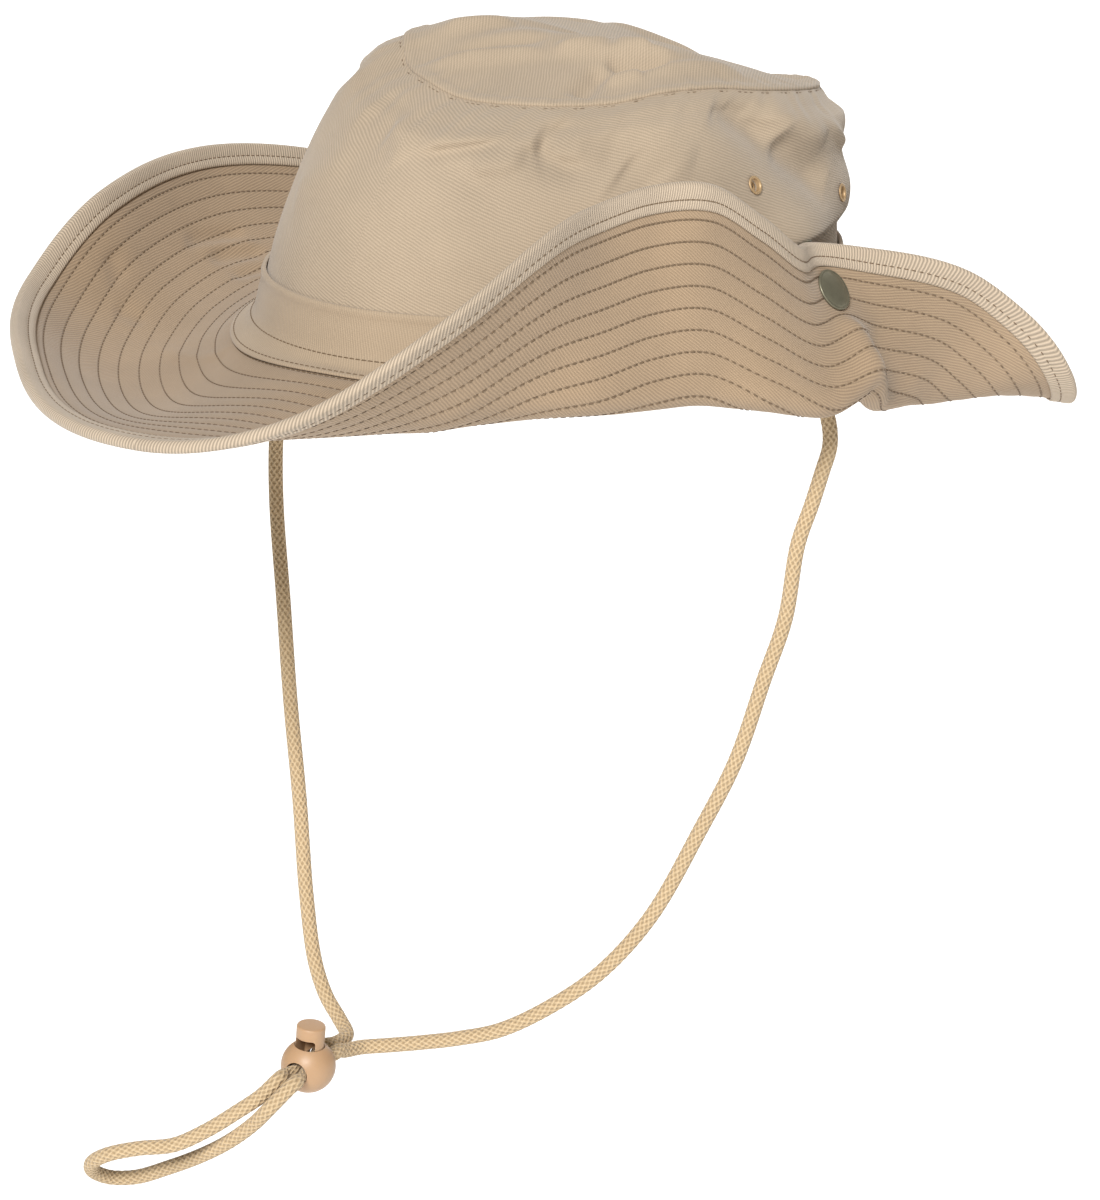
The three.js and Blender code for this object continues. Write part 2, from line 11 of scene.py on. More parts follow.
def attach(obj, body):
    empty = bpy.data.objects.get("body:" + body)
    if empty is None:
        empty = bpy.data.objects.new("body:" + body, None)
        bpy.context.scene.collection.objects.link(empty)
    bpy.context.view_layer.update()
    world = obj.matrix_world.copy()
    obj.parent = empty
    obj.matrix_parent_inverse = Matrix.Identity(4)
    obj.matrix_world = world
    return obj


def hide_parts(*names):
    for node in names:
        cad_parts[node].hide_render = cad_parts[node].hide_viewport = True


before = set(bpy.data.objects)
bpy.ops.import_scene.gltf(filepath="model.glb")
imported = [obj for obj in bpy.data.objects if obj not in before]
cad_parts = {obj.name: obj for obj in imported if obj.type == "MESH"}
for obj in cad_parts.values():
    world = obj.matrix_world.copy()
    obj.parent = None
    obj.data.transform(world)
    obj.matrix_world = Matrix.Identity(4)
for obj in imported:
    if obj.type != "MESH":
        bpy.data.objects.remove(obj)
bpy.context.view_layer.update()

MM = 0.001

# Driving sizes, in millimetres, as the solids have them
HEAD_HALF_WIDTH = 83
HEAD_HALF_LENGTH = 101
TIP_HALF_WIDTH = 58
TIP_HALF_LENGTH = 73
TIP_SET_BACK = 31
TIP_HEIGHT = 75
TIP_DOME = 8
TIP_OVERHANG = 0.6
CROWN_LOW = 1.3
CROWN_CLOTH = 1.4
FOOT_HEIGHT = 25
FOOT_UP = 0.3
BRIM_WIDTH = 84
BRIM_CLOTH = 2
BRIM_ROOT = 1.4
ROOT_BEND = 7
TAPE_WIDTH = 7.5
TAPE_CLOTH = 0.8
BAND_HEIGHT = 19
SWEATBAND_LOW = -11
SWEATBAND_HIGH = 24

# Sewing
ROW_PITCH = 6.6
FIRST_ROW = BRIM_WIDTH - 10.6
ROW_COUNT = 12
STITCH_PITCH = 2.5
STITCH_LENGTH = 1.8
THREAD = 0.34
STITCH_SUNK = 0.12
HEAD_ROUND = 581
TOPSTITCH_OFF = 2.1
RIB_PITCH = 0.87
YARN_PITCH = 0.62
TAPE_RIB_PITCH = 1.05

# Metal fittings, cord and lock
SNAP_ANGLE = 99
SNAP_ALONG = 68.25
EYELET_HOLE = 1.95
EYELETS = (
    ("eyelet_left_front", 87, 0.66),
    ("eyelet_left_back", 123, 0.51),
    ("eyelet_right_front", 273, 0.66),
    ("eyelet_right_back", 237, 0.51),
)
CORD_DIAMETER = 4.8
PLAIT_YARNS = 8
PLAIT_LENGTH = 2.6
PLAIT_DEPTH = 0.16
CORD_STEP = 0.4
CORD_CORNERS = 36
BALL_RADIUS = 8.75
BUTTON_RADIUS = 4.6
BUTTON_LOW = -4
BUTTON_HIGH = 14.4
BUTTON_TRAVEL = 2.4
WINDOW_HALF_WIDTH = 3.5
WINDOW_LOW = -2
WINDOW_HIGH = 10.4
SQUEEZED_ASIDE = 1.6
SQUEEZED_HALF_LENGTH = 9.2
STRAIGHT_LEAD = 5
LOCK_PLACE = (-33, -80, -236)
LOCK_TURN = (3, 7, 13)
LOCK_PLAY = 0.3
CORD_HOLE = 3.9
PAST_LOCK = 12


def table(columns, rows):
    """A table with named columns, each an array."""
    return {name: np.array(values, float) for name, values in zip(columns.split(), zip(*rows))}


# The brim round the hat, as in the solids: angle 0 is the front, 90 the wearer's left
BRIM = table("angle droop fold_start fold_end rise edge swing", (
    (0, -12, 9, 76, 2, 4, 0), (15, -16, 13, 62, 17, 17, 0), (30, -23, 9, 50, 50, 52, 0),
    (40, -27, 9, 38, 71, 75, 0), (50, -30, 10, 34, 95, 92, 0), (60, -39, 10, 26, 97, 92, 0),
    (70, -50, 9, 25, 93, 87, 0), (80, -44, 15, 35, 108, 88, 0), (90, -41, 24, 40, 118, 98, 0),
    (99, -39, 20, 47, 132, 114, 0), (108, -56, 26, 41, 100, 96, 0), (118, -54, 30, 44, 72, 66, 0),
    (124, -50, 33, 50, 50, 46, -2), (130, -43, 33, 60, 16, 20, -3), (140, -36, 26, 76, -10, -9, -5),
    (155, -34, 15, 72, -23, -13, -3), (180, -24, 14, 78, -14, -14, 0), (210, -20, 14, 78, 0, 0, 0),
    (235, -18, 10, 78, 26, 26, 0), (250, -18, 6, 78, 52, 52, 0), (270, -12, 3, 79, 59, 67, 0),
    (290, -22, 6, 74, 60, 59, 0), (305, -31, 8, 75, 41, 39, 0), (330, -42, 7, 71, 33, 28, 0),
))

# Height of the tip seam round the hat
TIP = table("angle height", (
    (0, 74), (20, 73.5), (45, 74), (60, 76.5), (75, 76), (90, 73), (120, 67.5), (150, 63.5), (180, 60),
    (225, 68), (270, 79), (315, 85), (330, 79), (345, 77),
))

# How far the crown's wall has moved from the head opening to the tip's outline
WALL = table("up inward", (
    (0, 0), (FOOT_UP, 0.12), (0.42, 0.18), (0.6, 0.29), (0.72, 0.38), (0.88, 0.55), (0.95, 0.66),
    (1, 0.97),
))

# Dents and puffs of the crown's wall, and of the tip, as in the solids
CROWN_FOLDS = table("angle up out wide tall slant", (
    (48, 0.84, -4, 10, 0.1, 0.002), (22, 0.76, -2, 12, 0.06, -0.006), (95, 0.8, -4, 20, 0.12, -0.012),
    (70, 0.6, 2, 22, 0.2, 0), (350, 0.8, -2.5, 12, 0.14, 0), (138, 0.5, 5, 26, 0.22, 0),
    (134, 0.88, 5, 24, 0.14, 0), (99, 0.34, 6, 14, 0.18, 0), (215, 0.78, -3, 16, 0.14, 0.004),
    (280, 0.7, -4, 18, 0.14, -0.004), (311, 0.8, -1.8, 28, 0.3, 0),
))
TIP_FOLDS = table("x y lift long wide turn", (
    (-8, -34, 5, 34, 22, 10), (22, -20, 3, 40, 9, 35), (14, 24, -5, 42, 12, 60), (-24, 30, 5, 34, 14, 70),
    (12, 44, -6, 44, 22, 20),
))

# Both strands of the chin cord and its tail, as in the solids
LEFT_STRAND = (
    (81, 16.5, -6.7), (84, 17.5, -7.2), (87.5, 20, -12.5), (89.5, 22.5, -19), (91, 24, -25),
    (91, 25, -33), (88.5, 24.5, -42), (86, 23, -52), (83, 20, -65), (80, 18, -89), (75, 14, -109),
    (69, 8, -135), (60, 2, -158), (47, -7, -188), (34, -16, -207), (21, -25, -219), (7, -33, -228),
    (-5, -39, -232), (-17, -44, -235), (-28, -48, -237.5), (-34, -53.5, -238), (-34.5, -61, -237),
)
RIGHT_STRAND = (
    (-81.8, -6, -6.7), (-85.5, -6.3, -7), (-91.5, -7.2, -11), (-98, -8.5, -20), (-103, -9.5, -31),
    (-106.5, -10, -44), (-108, -10.5, -58), (-105, -14, -77), (-96, -21, -107), (-87, -28, -138),
    (-78, -34, -168), (-68, -42, -198), (-61, -46, -217), (-55, -47.5, -227), (-48.5, -48.5, -233),
    (-42, -52, -236), (-39.3, -60, -236),
)
TAIL = (
    (-36, -99, -241.5), (-42, -104, -247), (-50, -109, -253.5), (-59, -115, -259), (-69, -121, -261),
    (-78, -125, -264), (-86, -124.5, -269), (-91, -119.5, -275), (-90, -113, -279),
    (-83, -108.5, -278.5), (-71, -105, -273), (-59, -103, -266.5), (-47.5, -102, -259),
    (-38, -100.5, -251), (-31, -99.5, -243.5),
)

# Camera: at the photograph's angle, in metres from the middle of the head opening
CAMERA_DISTANCE = 1.6
CAMERA_AZIMUTH = 40
CAMERA_ELEVATION = 13
CAMERA_AIM_DOWN = 3.23
CAMERA_LENS = 153.6


def placed(name, data):
    """An object of the scene from its mesh, lamp or camera."""
    made = bpy.data.objects.new(name, data)
    bpy.context.collection.objects.link(made)
    return made


def add_camera():
    azimuth = math.radians(CAMERA_AZIMUTH)
    elevation = math.radians(CAMERA_ELEVATION)
    data = bpy.data.cameras.new("photo_camera")
    data.lens = CAMERA_LENS
    data.sensor_width = 36
    camera = placed("photo_camera", data)
    camera.location = (
        CAMERA_DISTANCE * math.sin(azimuth) * math.cos(elevation),
        -CAMERA_DISTANCE * math.cos(azimuth) * math.cos(elevation),
        CAMERA_DISTANCE * math.sin(elevation),
    )
    tilt = math.radians(90 - CAMERA_ELEVATION - CAMERA_AIM_DOWN)
    camera.rotation_euler = (tilt, 0, azimuth)
    bpy.context.scene.camera = camera


# Values between a table's rows


def smooth(value):
    value = np.clip(value, 0, 1)
    return value * value * (3 - 2 * value)


def around(rows, angle):
    """Smooth values of a table round the hat, one array per column."""
    at = rows["angle"]
    before = np.append(at[-1] - 360, at[:-1])
    after = np.append(at[1:], at[0] + 360)
    turn = np.asarray(angle, float) % 360
    k = np.searchsorted(at, turn, side="right") - 1
    ahead = (k + 1) % len(at)
    span = (after - at)[k]
    t = (turn - at[k]) / span
    values = {}
    for name, column in rows.items():
        slope = (np.roll(column, -1) - np.roll(column, 1)) / (after - before)
        values[name] = (
            column[k] * (1 + 2 * t) * (1 - t) ** 2
            + column[ahead] * t * t * (3 - 2 * t)
            + span * (slope[k] * t * (1 - t) ** 2 - slope[ahead] * t * t * (1 - t))
        )
    return values


def unit(vectors):
    return vectors / np.linalg.norm(vectors, axis=-1, keepdims=True)


def lengths_along(steps):
    """How far each point lies along a line, from the steps between its points."""
    return np.concatenate([[0], np.cumsum(steps)])


def wrinkles(rows, x, y):
    """Height of soft line folds at places x, y: each runs between its two ends and fades there."""
    height = np.zeros(np.broadcast(x, y).shape)
    for x1, y1, x2, y2, lift, wide in zip(*rows.values()):
        length = math.hypot(x2 - x1, y2 - y1)
        part = ((x - x1) * (x2 - x1) + (y - y1) * (y2 - y1)) / length**2
        inside = np.clip(part, 0, 1)
        far = np.hypot(x - x1 - inside * (x2 - x1), y - y1 - inside * (y2 - y1))
        height = height + lift * np.exp(-((far / wide) ** 2)) * smooth(4 * inside * (1 - inside) + 0.15)
    return height


# Places on the hat's cloth, in millimetres


def head_opening(angle):
    """The oval of the head opening and the direction out from it, for an array of angles."""
    turn = np.radians(angle)
    zero = np.zeros_like(turn)
    point = np.stack([HEAD_HALF_WIDTH * np.sin(turn), -HEAD_HALF_LENGTH * np.cos(turn), zero], -1)
    outward = np.stack([np.sin(turn) / HEAD_HALF_WIDTH, -np.cos(turn) / HEAD_HALF_LENGTH, zero], -1)
    return point, unit(outward)


# Soft line folds of the brim: millimetres round and out at both ends, and their lift to the underside
BRIM_WRINKLES = table("x1 y1 x2 y2 lift wide", (
    (165, 60, 162, 36, 2.6, 4.5), (163, 37, 166, 28, -1.2, 2.2), (172, 58, 190, 44, -1.4, 7),
    (445, 50, 463, 56, 1.5, 3.2), (443, 45, 462, 51, -1.0, 2.8), (444, 40, 461, 46, 1.5, 3.2),
    (446, 30, 462, 35, 1.3, 3.2), (484, 68, 488, 58, 1.0, 3), (494, 56, 493, 44, 1.0, 3),
    (506, 34, 540, 10, -0.7, 3), (350, 66, 366, 40, 1.3, 6), (268, 60, 262, 36, -1.2, 7),
    (40, 30, 58, 50, 0.8, 6),
))
BRIM_AROUND = 1.65


def brim_relief(angle, along):
    """How far the brim's cloth stands off its plain shape, towards its upper side."""
    x = np.asarray(angle) * BRIM_AROUND
    relief = -wrinkles(BRIM_WRINKLES, x, along)
    return relief * smooth(along / 12) * smooth((BRIM_WIDTH - along) / 14 + 0.2)


def brim_point(angle, along, above):
    """Points of the brim for n angles, at (n, m) places out from the crown and above the cloth's middle."""
    angle = np.asarray(angle, float)
    along = np.broadcast_to(along, (len(angle), np.shape(along)[-1]))
    row = around(BRIM, angle)
    step = 0.5
    fine = (np.arange(int(BRIM_WIDTH / step) + 8) + 0.5) * step
    column = {name: values[:, None] for name, values in row.items()}
    root = column["droop"] * smooth(fine / ROOT_BEND)
    fold = smooth((fine - column["fold_start"]) / (column["fold_end"] - column["fold_start"]))
    past = np.clip((fine - column["fold_end"]) / (BRIM_WIDTH - column["fold_end"]), 0, 1)
    lifted = (column["rise"] - column["droop"]) * fold + (column["edge"] - column["rise"]) * past
    slope = np.radians(root + lifted)
    out = np.pad(np.cumsum(np.cos(slope), 1) * step, ((0, 0), (1, 0)))
    up = np.pad(np.cumsum(np.sin(slope), 1) * step, ((0, 0), (1, 0)))
    place = np.clip(along, 0, None) / step
    below = np.floor(place).astype(int)
    part = place - below
    rows = np.arange(len(angle))[:, None]

    def at(values):
        return values[rows, below] * (1 - part) + values[rows, below + 1] * part

    lean = at(np.pad(slope, ((0, 0), (0, 1)), mode="edge")) * smooth(along / 0.5)
    off = above + brim_relief(angle[:, None], along)
    point, outward = head_opening(angle)
    cosine = np.cos(np.radians(row["swing"]))
    sine = np.sin(np.radians(row["swing"]))
    x, y, z = outward.T
    heading = np.stack([x * cosine - y * sine, x * sine + y * cosine, z], -1)
    reach = at(out) + np.clip(along, None, 0) - off * np.sin(lean)
    points = point[:, None, :] + heading[:, None, :] * reach[..., None]
    points[..., 2] += at(up) + off * np.cos(lean)
    return points


def tip_outline(angle):
    turn = np.radians(angle)
    y = TIP_SET_BACK - TIP_HALF_LENGTH * np.cos(turn)
    return np.stack([TIP_HALF_WIDTH * np.sin(turn), y, around(TIP, angle)["height"]], -1)


# Soft line folds of the crown's wall: millimetres round from the front, and up, at both ends
CROWN_WRINKLES = table("x1 y1 x2 y2 lift wide", (
    (49, 66, 60, 73, -5, 7.5), (8, 63, 40, 68.5, -2.4, 2.2), (6, 67, 38, 72, 1.6, 3.6),
    (30, 61, 48, 64, 1.6, 3.2), (43, 67, 68, 58.5, -2.6, 2.6), (52, 66.5, 76, 62, 1.8, 4),
    (80, 59, 91, 50, -2.4, 8), (84, 66, 104, 58, 1.4, 6), (108, 74, 142, 63, -4.0, 5.5),
    (140, 63, 168, 44, -3.6, 6.5), (128, 75, 168, 61, 2.6, 6), (164, 69, 190, 54, 1.8, 2.4),
    (-30, 70, -9, 66, -3.2, 5.5), (-8, 72, 4, 60, 1.6, 5), (20, 40, 64, 30, 1.6, 9),
    (70, 34, 100, 44, -1.6, 7), (-150, 58, -120, 66, -2.4, 4), (-128, 66, -104, 52, 2.0, 5),
    (-90, 64, -58, 70, -2.6, 3.4), (-102, 38, -70, 54, -2.4, 7), (-50, 40, -20, 58, 1.6, 7),
    (205, 62, 236, 48, -2.4, 5),
))
CROWN_AROUND = 1.45


def crown_face(angle, up):
    """The crown's outer face for n angles, at (n, m) places from the head opening (0) to the tip (1)."""
    angle = np.asarray(angle, float)
    up = np.broadcast_to(up, (len(angle), np.shape(up)[-1]))
    point, outward = head_opening(angle)
    top = tip_outline(angle)
    inward = np.interp(up, WALL["up"], WALL["inward"])
    soft = sum(np.interp(up + 0.012 * k, WALL["up"], WALL["inward"]) for k in range(-3, 4)) / 7
    inward = inward + (soft - inward) * smooth((1 - up) / 0.05) * smooth(up / 0.05)
    fold = np.zeros_like(up)
    for at, high, out, wide, tall, slant in zip(*CROWN_FOLDS.values()):
        turn = ((angle - at + 180) % 360 - 180)[:, None]
        fold = fold + out * np.exp(-((turn / wide) ** 2) - ((up - high - slant * turn) / tall) ** 2)
    ends = smooth((up - FOOT_UP) / 0.1) * smooth((1 - up) / 0.1)
    around_place = (((angle + 180) % 360) - 180)[:, None] * CROWN_AROUND
    fold = fold * ends + wrinkles(CROWN_WRINKLES, around_place, up * TIP_HEIGHT) * smooth((1 - up) / 0.06)
    points = point[:, None, :] * np.ones_like(up)[..., None]
    points[..., :2] += (top[:, None, :2] - point[:, None, :2]) * inward[..., None]
    points += outward[:, None, :] * fold[..., None]
    height = (top[:, 2] - CROWN_CLOTH - 0.6)[:, None]
    foot = CROWN_LOW + (FOOT_HEIGHT - CROWN_LOW) * up / FOOT_UP
    wall = FOOT_HEIGHT + (height - FOOT_HEIGHT) * (up - FOOT_UP) / (1 - FOOT_UP)
    points[..., 2] = np.where(up < FOOT_UP, foot, wall)
    return points


def crown_skin(angle, up):
    """The crown's outer face as it is sewn: it swells up to the tip at the welt seam."""
    points = crown_face(angle, up)
    reach = tip_outline(angle)[:, None, :2] - points[..., :2]
    points[..., :2] += reach * smooth((np.asarray(up) - 0.97) / 0.03)[..., None]
    points[..., 2] += 1.6 * smooth((np.asarray(up) - 0.95) / 0.045)
    return points


# Soft line folds of the tip: millimetres from its middle, at both ends
TIP_WRINKLES = table("x1 y1 x2 y2 lift wide", (
    (-24, -66, 9, -41, 2.4, 3), (9, -41, 40, -14, 2.0, 3), (-31, -47, -14, -28, 2.2, 3),
    (9, -41, 20, -24, 2.0, 2.8), (20, -25, 31, -19, 1.8, 3), (31, -56, 26, -36, -3.2, 3.8),
    (25, -35, 40, -22, -3.6, 3.6), (32, -44, 39, -33, 2.2, 2.6), (39, -33, 52, 1, 2.4, 3),
    (-20, -54, 4, -34, -2.0, 3), (-30, 28, -6, 56, 1.8, 4), (5, 42, 32, 18, -2.2, 4),
    (-40, -10, -22, 18, -1.8, 4),
))


def tip_face(angle, part):
    """The tip's outer face for n angles, at (n, m) places from its middle (0) to the seam (1)."""
    angle = np.asarray(angle, float)
    part = np.broadcast_to(part, (len(angle), np.shape(part)[-1]))
    edge = tip_outline(angle)[:, None, :]
    middle = np.array([0, TIP_SET_BACK, TIP_HEIGHT])
    points = middle + (edge - middle) * part[..., None]
    lift = TIP_DOME * (1 - part**2.4)
    flat = smooth((1 - part) / 0.25)
    for x, y, high, long, wide, turned in zip(*TIP_FOLDS.values()):
        turn = math.radians(turned)
        off_x = points[..., 0] - x
        off_y = points[..., 1] - TIP_SET_BACK - y
        far = (off_x * math.cos(turn) + off_y * math.sin(turn)) / long
        side = (off_y * math.cos(turn) - off_x * math.sin(turn)) / wide
        lift = lift + high * np.exp(-far * far - side * side) * flat
    soft = wrinkles(TIP_WRINKLES, points[..., 0], points[..., 1] - TIP_SET_BACK)
    lift = lift + soft * smooth((1 - part) / 0.12)
    outward = head_opening(angle)[1][:, None, :]
    points = points + outward * (TIP_OVERHANG * part**4)[..., None]
    points[..., 2] += lift
    return points


def square_to(points):
    """Directions square to a grid of points that closes round the hat, away from the middle of the hat."""
    round_way = np.roll(points, -1, 0) - np.roll(points, 1, 0)
    across = np.gradient(points, axis=1)
    square = np.cross(round_way, across)
    return square / np.maximum(np.linalg.norm(square, axis=-1, keepdims=True), 1e-9)


def foot_point(angle, height, out):
    """A point of the strips at the crown's foot: millimetres up, and out from the crown's face."""
    angle = np.asarray(angle, float)
    height = np.broadcast_to(height, (len(angle), np.shape(height)[-1]))
    up = FOOT_UP * np.clip((height - CROWN_LOW) / (FOOT_HEIGHT - CROWN_LOW), 0, None)
    points = crown_face(angle, up)
    points = points + head_opening(angle)[1][:, None, :] * np.broadcast_to(out, height.shape)[..., None]
    points[..., 2] = height
    return points


# Meshes


def mesh_object(name, points, corners, uvs=None):
    """A mesh from points in millimetres, faces of equal corner count, and UV layers given per face corner."""
    mesh = bpy.data.meshes.new(name)
    points = np.asarray(points, np.float32).reshape(-1, 3) * MM
    corners = np.asarray(corners, np.int32)
    sides = corners.shape[1]
    mesh.vertices.add(len(points))
    mesh.vertices.foreach_set("co", points.ravel())
    mesh.loops.add(corners.size)
    mesh.loops.foreach_set("vertex_index", corners.ravel())
    mesh.polygons.add(len(corners))
    mesh.polygons.foreach_set("loop_start", np.arange(len(corners), dtype=np.int32) * sides)
    mesh.polygons.foreach_set("use_smooth", np.ones(len(corners), bool))
    for layer, values in (uvs or {}).items():
        uv = mesh.uv_layers.new(name=layer)
        uv.data.foreach_set("uv", np.asarray(values, np.float32).ravel())
    mesh.update(calc_edges=True)
    mesh.validate()
    return placed(name, mesh)


def signed_volume(points, corners):
    a, b, c, d = (points[corners[:, k]] for k in range(4))
    return np.einsum("ij,ij->i", a, np.cross(b, c)).sum() + np.einsum("ij,ij->i", a, np.cross(c, d)).sum()


def ring_object(name, points, uvs):
    """A closed section carried round the hat: (n, m, 3) points. Each UV layer is (n + 1, m + 1, 2)."""
    rounds, across = points.shape[:2]
    i, j = np.meshgrid(np.arange(rounds), np.arange(across), indexing="ij")
    i2 = (i + 1) % rounds
    j2 = (j + 1) % across
    corners = np.stack([i * across + j, i2 * across + j, i2 * across + j2, i * across + j2], -1)
    corners = corners.reshape(-1, 4)
    layers = {}
    for layer, values in uvs.items():
        quads = [values[:-1, :-1], values[1:, :-1], values[1:, 1:], values[:-1, 1:]]
        layers[layer] = np.stack(quads, 2).reshape(-1, 4, 2)
    flat = points.reshape(-1, 3)
    if signed_volume(flat, corners) < 0:
        corners = corners[:, ::-1]
        layers = {layer: values[:, ::-1] for layer, values in layers.items()}
    return mesh_object(name, flat, corners, layers)


def cloth_uvs(angle, across_place, radius, turned_flat=False):
    """UV layers in millimetres: `strip` runs round the hat and across; `flat` is the cloth laid flat."""
    turns = np.append(angle, angle[0] + 360)
    across = np.append(across_place, across_place[0])
    strip = np.stack(np.meshgrid(np.radians(turns) * radius, across, indexing="ij"), -1)
    if not turned_flat:
        return {"strip": strip, "flat": strip}
    reach = radius + across[None, :]
    turn = np.radians(turns)[:, None]
    return {"strip": strip, "flat": np.stack([reach * np.sin(turn), -reach * np.cos(turn)], -1)}


def angles(count):
    """Degrees round the hat, in even steps."""
    return np.arange(count) * 360 / count


def finish_piece(piece, material, replaces=(), body="hat"):
    piece.data.materials.clear()
    piece.data.materials.append(material)
    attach(piece, body)
    if replaces:
        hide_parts(*replaces)
    return piece


def stitches(name, centres, directions, ups, length=STITCH_LENGTH, radius=THREAD / 2):
    """Threads on the cloth: each dives in at both ends and stands up a little in its middle."""
    rings = ((-0.5, -0.16, 0.5), (-0.34, 0.03, 1), (0.34, 0.03, 1), (0.5, -0.16, 0.5))
    sideways = np.cross(directions, ups)
    rows = []
    for along, lift, scale in rings:
        for corner in range(4):
            turn = math.pi * (corner / 2 + 0.25)
            rise = ups * (lift + radius * scale * math.sin(turn))
            aside = sideways * (radius * scale * 1.25 * math.cos(turn))
            rows.append(centres + directions * (along * length) + rise + aside)
    points = np.stack(rows, 1)
    quads = []
    for ring in range(3):
        for corner in range(4):
            after = (corner + 1) % 4
            quads.append((ring * 4 + corner, ring * 4 + after, ring * 4 + 4 + after, ring * 4 + 4 + corner))
    quads += [(3, 2, 1, 0), (12, 13, 14, 15)]
    corners = (np.arange(len(points))[:, None, None] * 16 + np.array(quads)[None]).reshape(-1, 4)
    return mesh_object(name, points.reshape(-1, 3), corners)


def row_of_stitches(place, length_round, pitch=STITCH_PITCH):
    """Centres, directions and ups of a row round the hat; place(angles) gives points and ups."""
    count = int(length_round / pitch)
    angle = angles(count)
    step = 360 / count / 4
    centre, up = place(angle)
    ahead, _ = place(angle + step)
    behind, _ = place(angle - step)
    direction = unit(ahead - behind)
    return centre, direction, unit(up - direction * np.sum(direction * up, -1, keepdims=True))


def sew(name, rows, slot, **sizes):
    """One piece from rows of stitches, each given as centres, directions and ups."""
    parts = [np.concatenate(part) for part in zip(*rows)]
    return finish_piece(stitches(name, *parts, **sizes), SEWING_THREAD, ())


def apply_modifiers(piece):
    bpy.context.view_layer.update()
    graph = bpy.context.evaluated_depsgraph_get()
    mesh = bpy.data.meshes.new_from_object(piece.evaluated_get(graph))
    piece.modifiers.clear()
    old = piece.data
    piece.data = mesh
    bpy.data.meshes.remove(old)


# Materials


class Nodes:
    """A material's node tree, with short calls for the nodes that are used most."""

    def __init__(self, name):
        self.material = bpy.data.materials.new(name)
        self.material.use_nodes = True
        self.tree = self.material.node_tree
        self.shader = self.tree.nodes["Principled BSDF"]

    def node(self, kind, **settings):
        made = self.tree.nodes.new(kind)
        for key, value in settings.items():
            setattr(made, key, value)
        return made

    def link(self, source, target):
        if isinstance(source, (int, float, tuple)):
            target.default_value = source
        else:
            self.tree.links.new(source, target)

    def math(self, operation, first, second=0, third=0):
        made = self.node("ShaderNodeMath", operation=operation)
        for value, socket in zip((first, second, third), made.inputs):
            self.link(value, socket)
        return made.outputs[0]

    def uv(self, layer):
        return self.node("ShaderNodeUVMap", uv_map=layer).outputs[0]

    def split(self, vector):
        made = self.node("ShaderNodeSeparateXYZ")
        self.link(vector, made.inputs[0])
        return made.outputs

    def noise(self, vector, scale, detail):
        made = self.node("ShaderNodeTexNoise")
        for name, value in (("Vector", vector), ("Scale", scale), ("Detail", detail), ("Roughness", 0.55)):
            self.link(value, made.inputs[name])
        return made.outputs[0]

    def grain(self, scale, detail=3):
        return self.noise(self.node("ShaderNodeTexCoord").outputs["Object"], scale, detail)

    def between(self, factor, low, high):
        made = self.node("ShaderNodeMapRange")
        for name, value in (("Value", factor), ("To Min", low), ("To Max", high)):
            self.link(value, made.inputs[name])
        return made.outputs[0]

    def mix(self, factor, first, second):
        made = self.node("ShaderNodeMix", data_type="RGBA", blend_type="MIX")
        for value, socket in ((factor, 0), (first, 6), (second, 7)):
            self.link((*value, 1) if isinstance(value, tuple) else value, made.inputs[socket])
        return made.outputs[2]

    def times(self, first, second):
        return self.math("MULTIPLY", first, second)

    def plus(self, first, second, times):
        return self.math("MULTIPLY_ADD", second, times, first)

    def off_middle(self, first, noise, times):
        """A value with the swing of a noise about its middle added to it."""
        return self.plus(first, self.math("SUBTRACT", noise, 0.5), times)

    def finish(self, colour, roughness, height, depth, **constants):
        self.link(colour, self.shader.inputs["Base Color"])
        self.link(roughness, self.shader.inputs["Roughness"])
        made = self.node("ShaderNodeBump")
        made.inputs["Distance"].default_value = depth * MM
        made.inputs["Strength"].default_value = 1
        self.link(height, made.inputs["Height"])
        self.link(made.outputs[0], self.shader.inputs["Normal"])
        return self.hold(**constants)

    def hold(self, **constants):
        for name, value in constants.items():
            self.shader.inputs[name.replace("_", " ")].default_value = value
        return self.material


def linear(red, green, blue):
    """A colour given in 0 to 255, as the shader takes it."""
    return tuple(((value / 255 + 0.055) / 1.055) ** 2.4 for value in (red, green, blue))


def wave(nodes, distance, pitch):
    """A wave from -1 to 1 along a distance in millimetres."""
    return nodes.math("SINE", nodes.times(distance, 2 * math.pi / pitch))


def shades(colour, spread):
    """A light and a dark shade about a middle colour."""
    light = tuple(value * (1 + spread) for value in colour)
    return light, tuple(value * (1 - spread) ** 1.4 for value in colour)


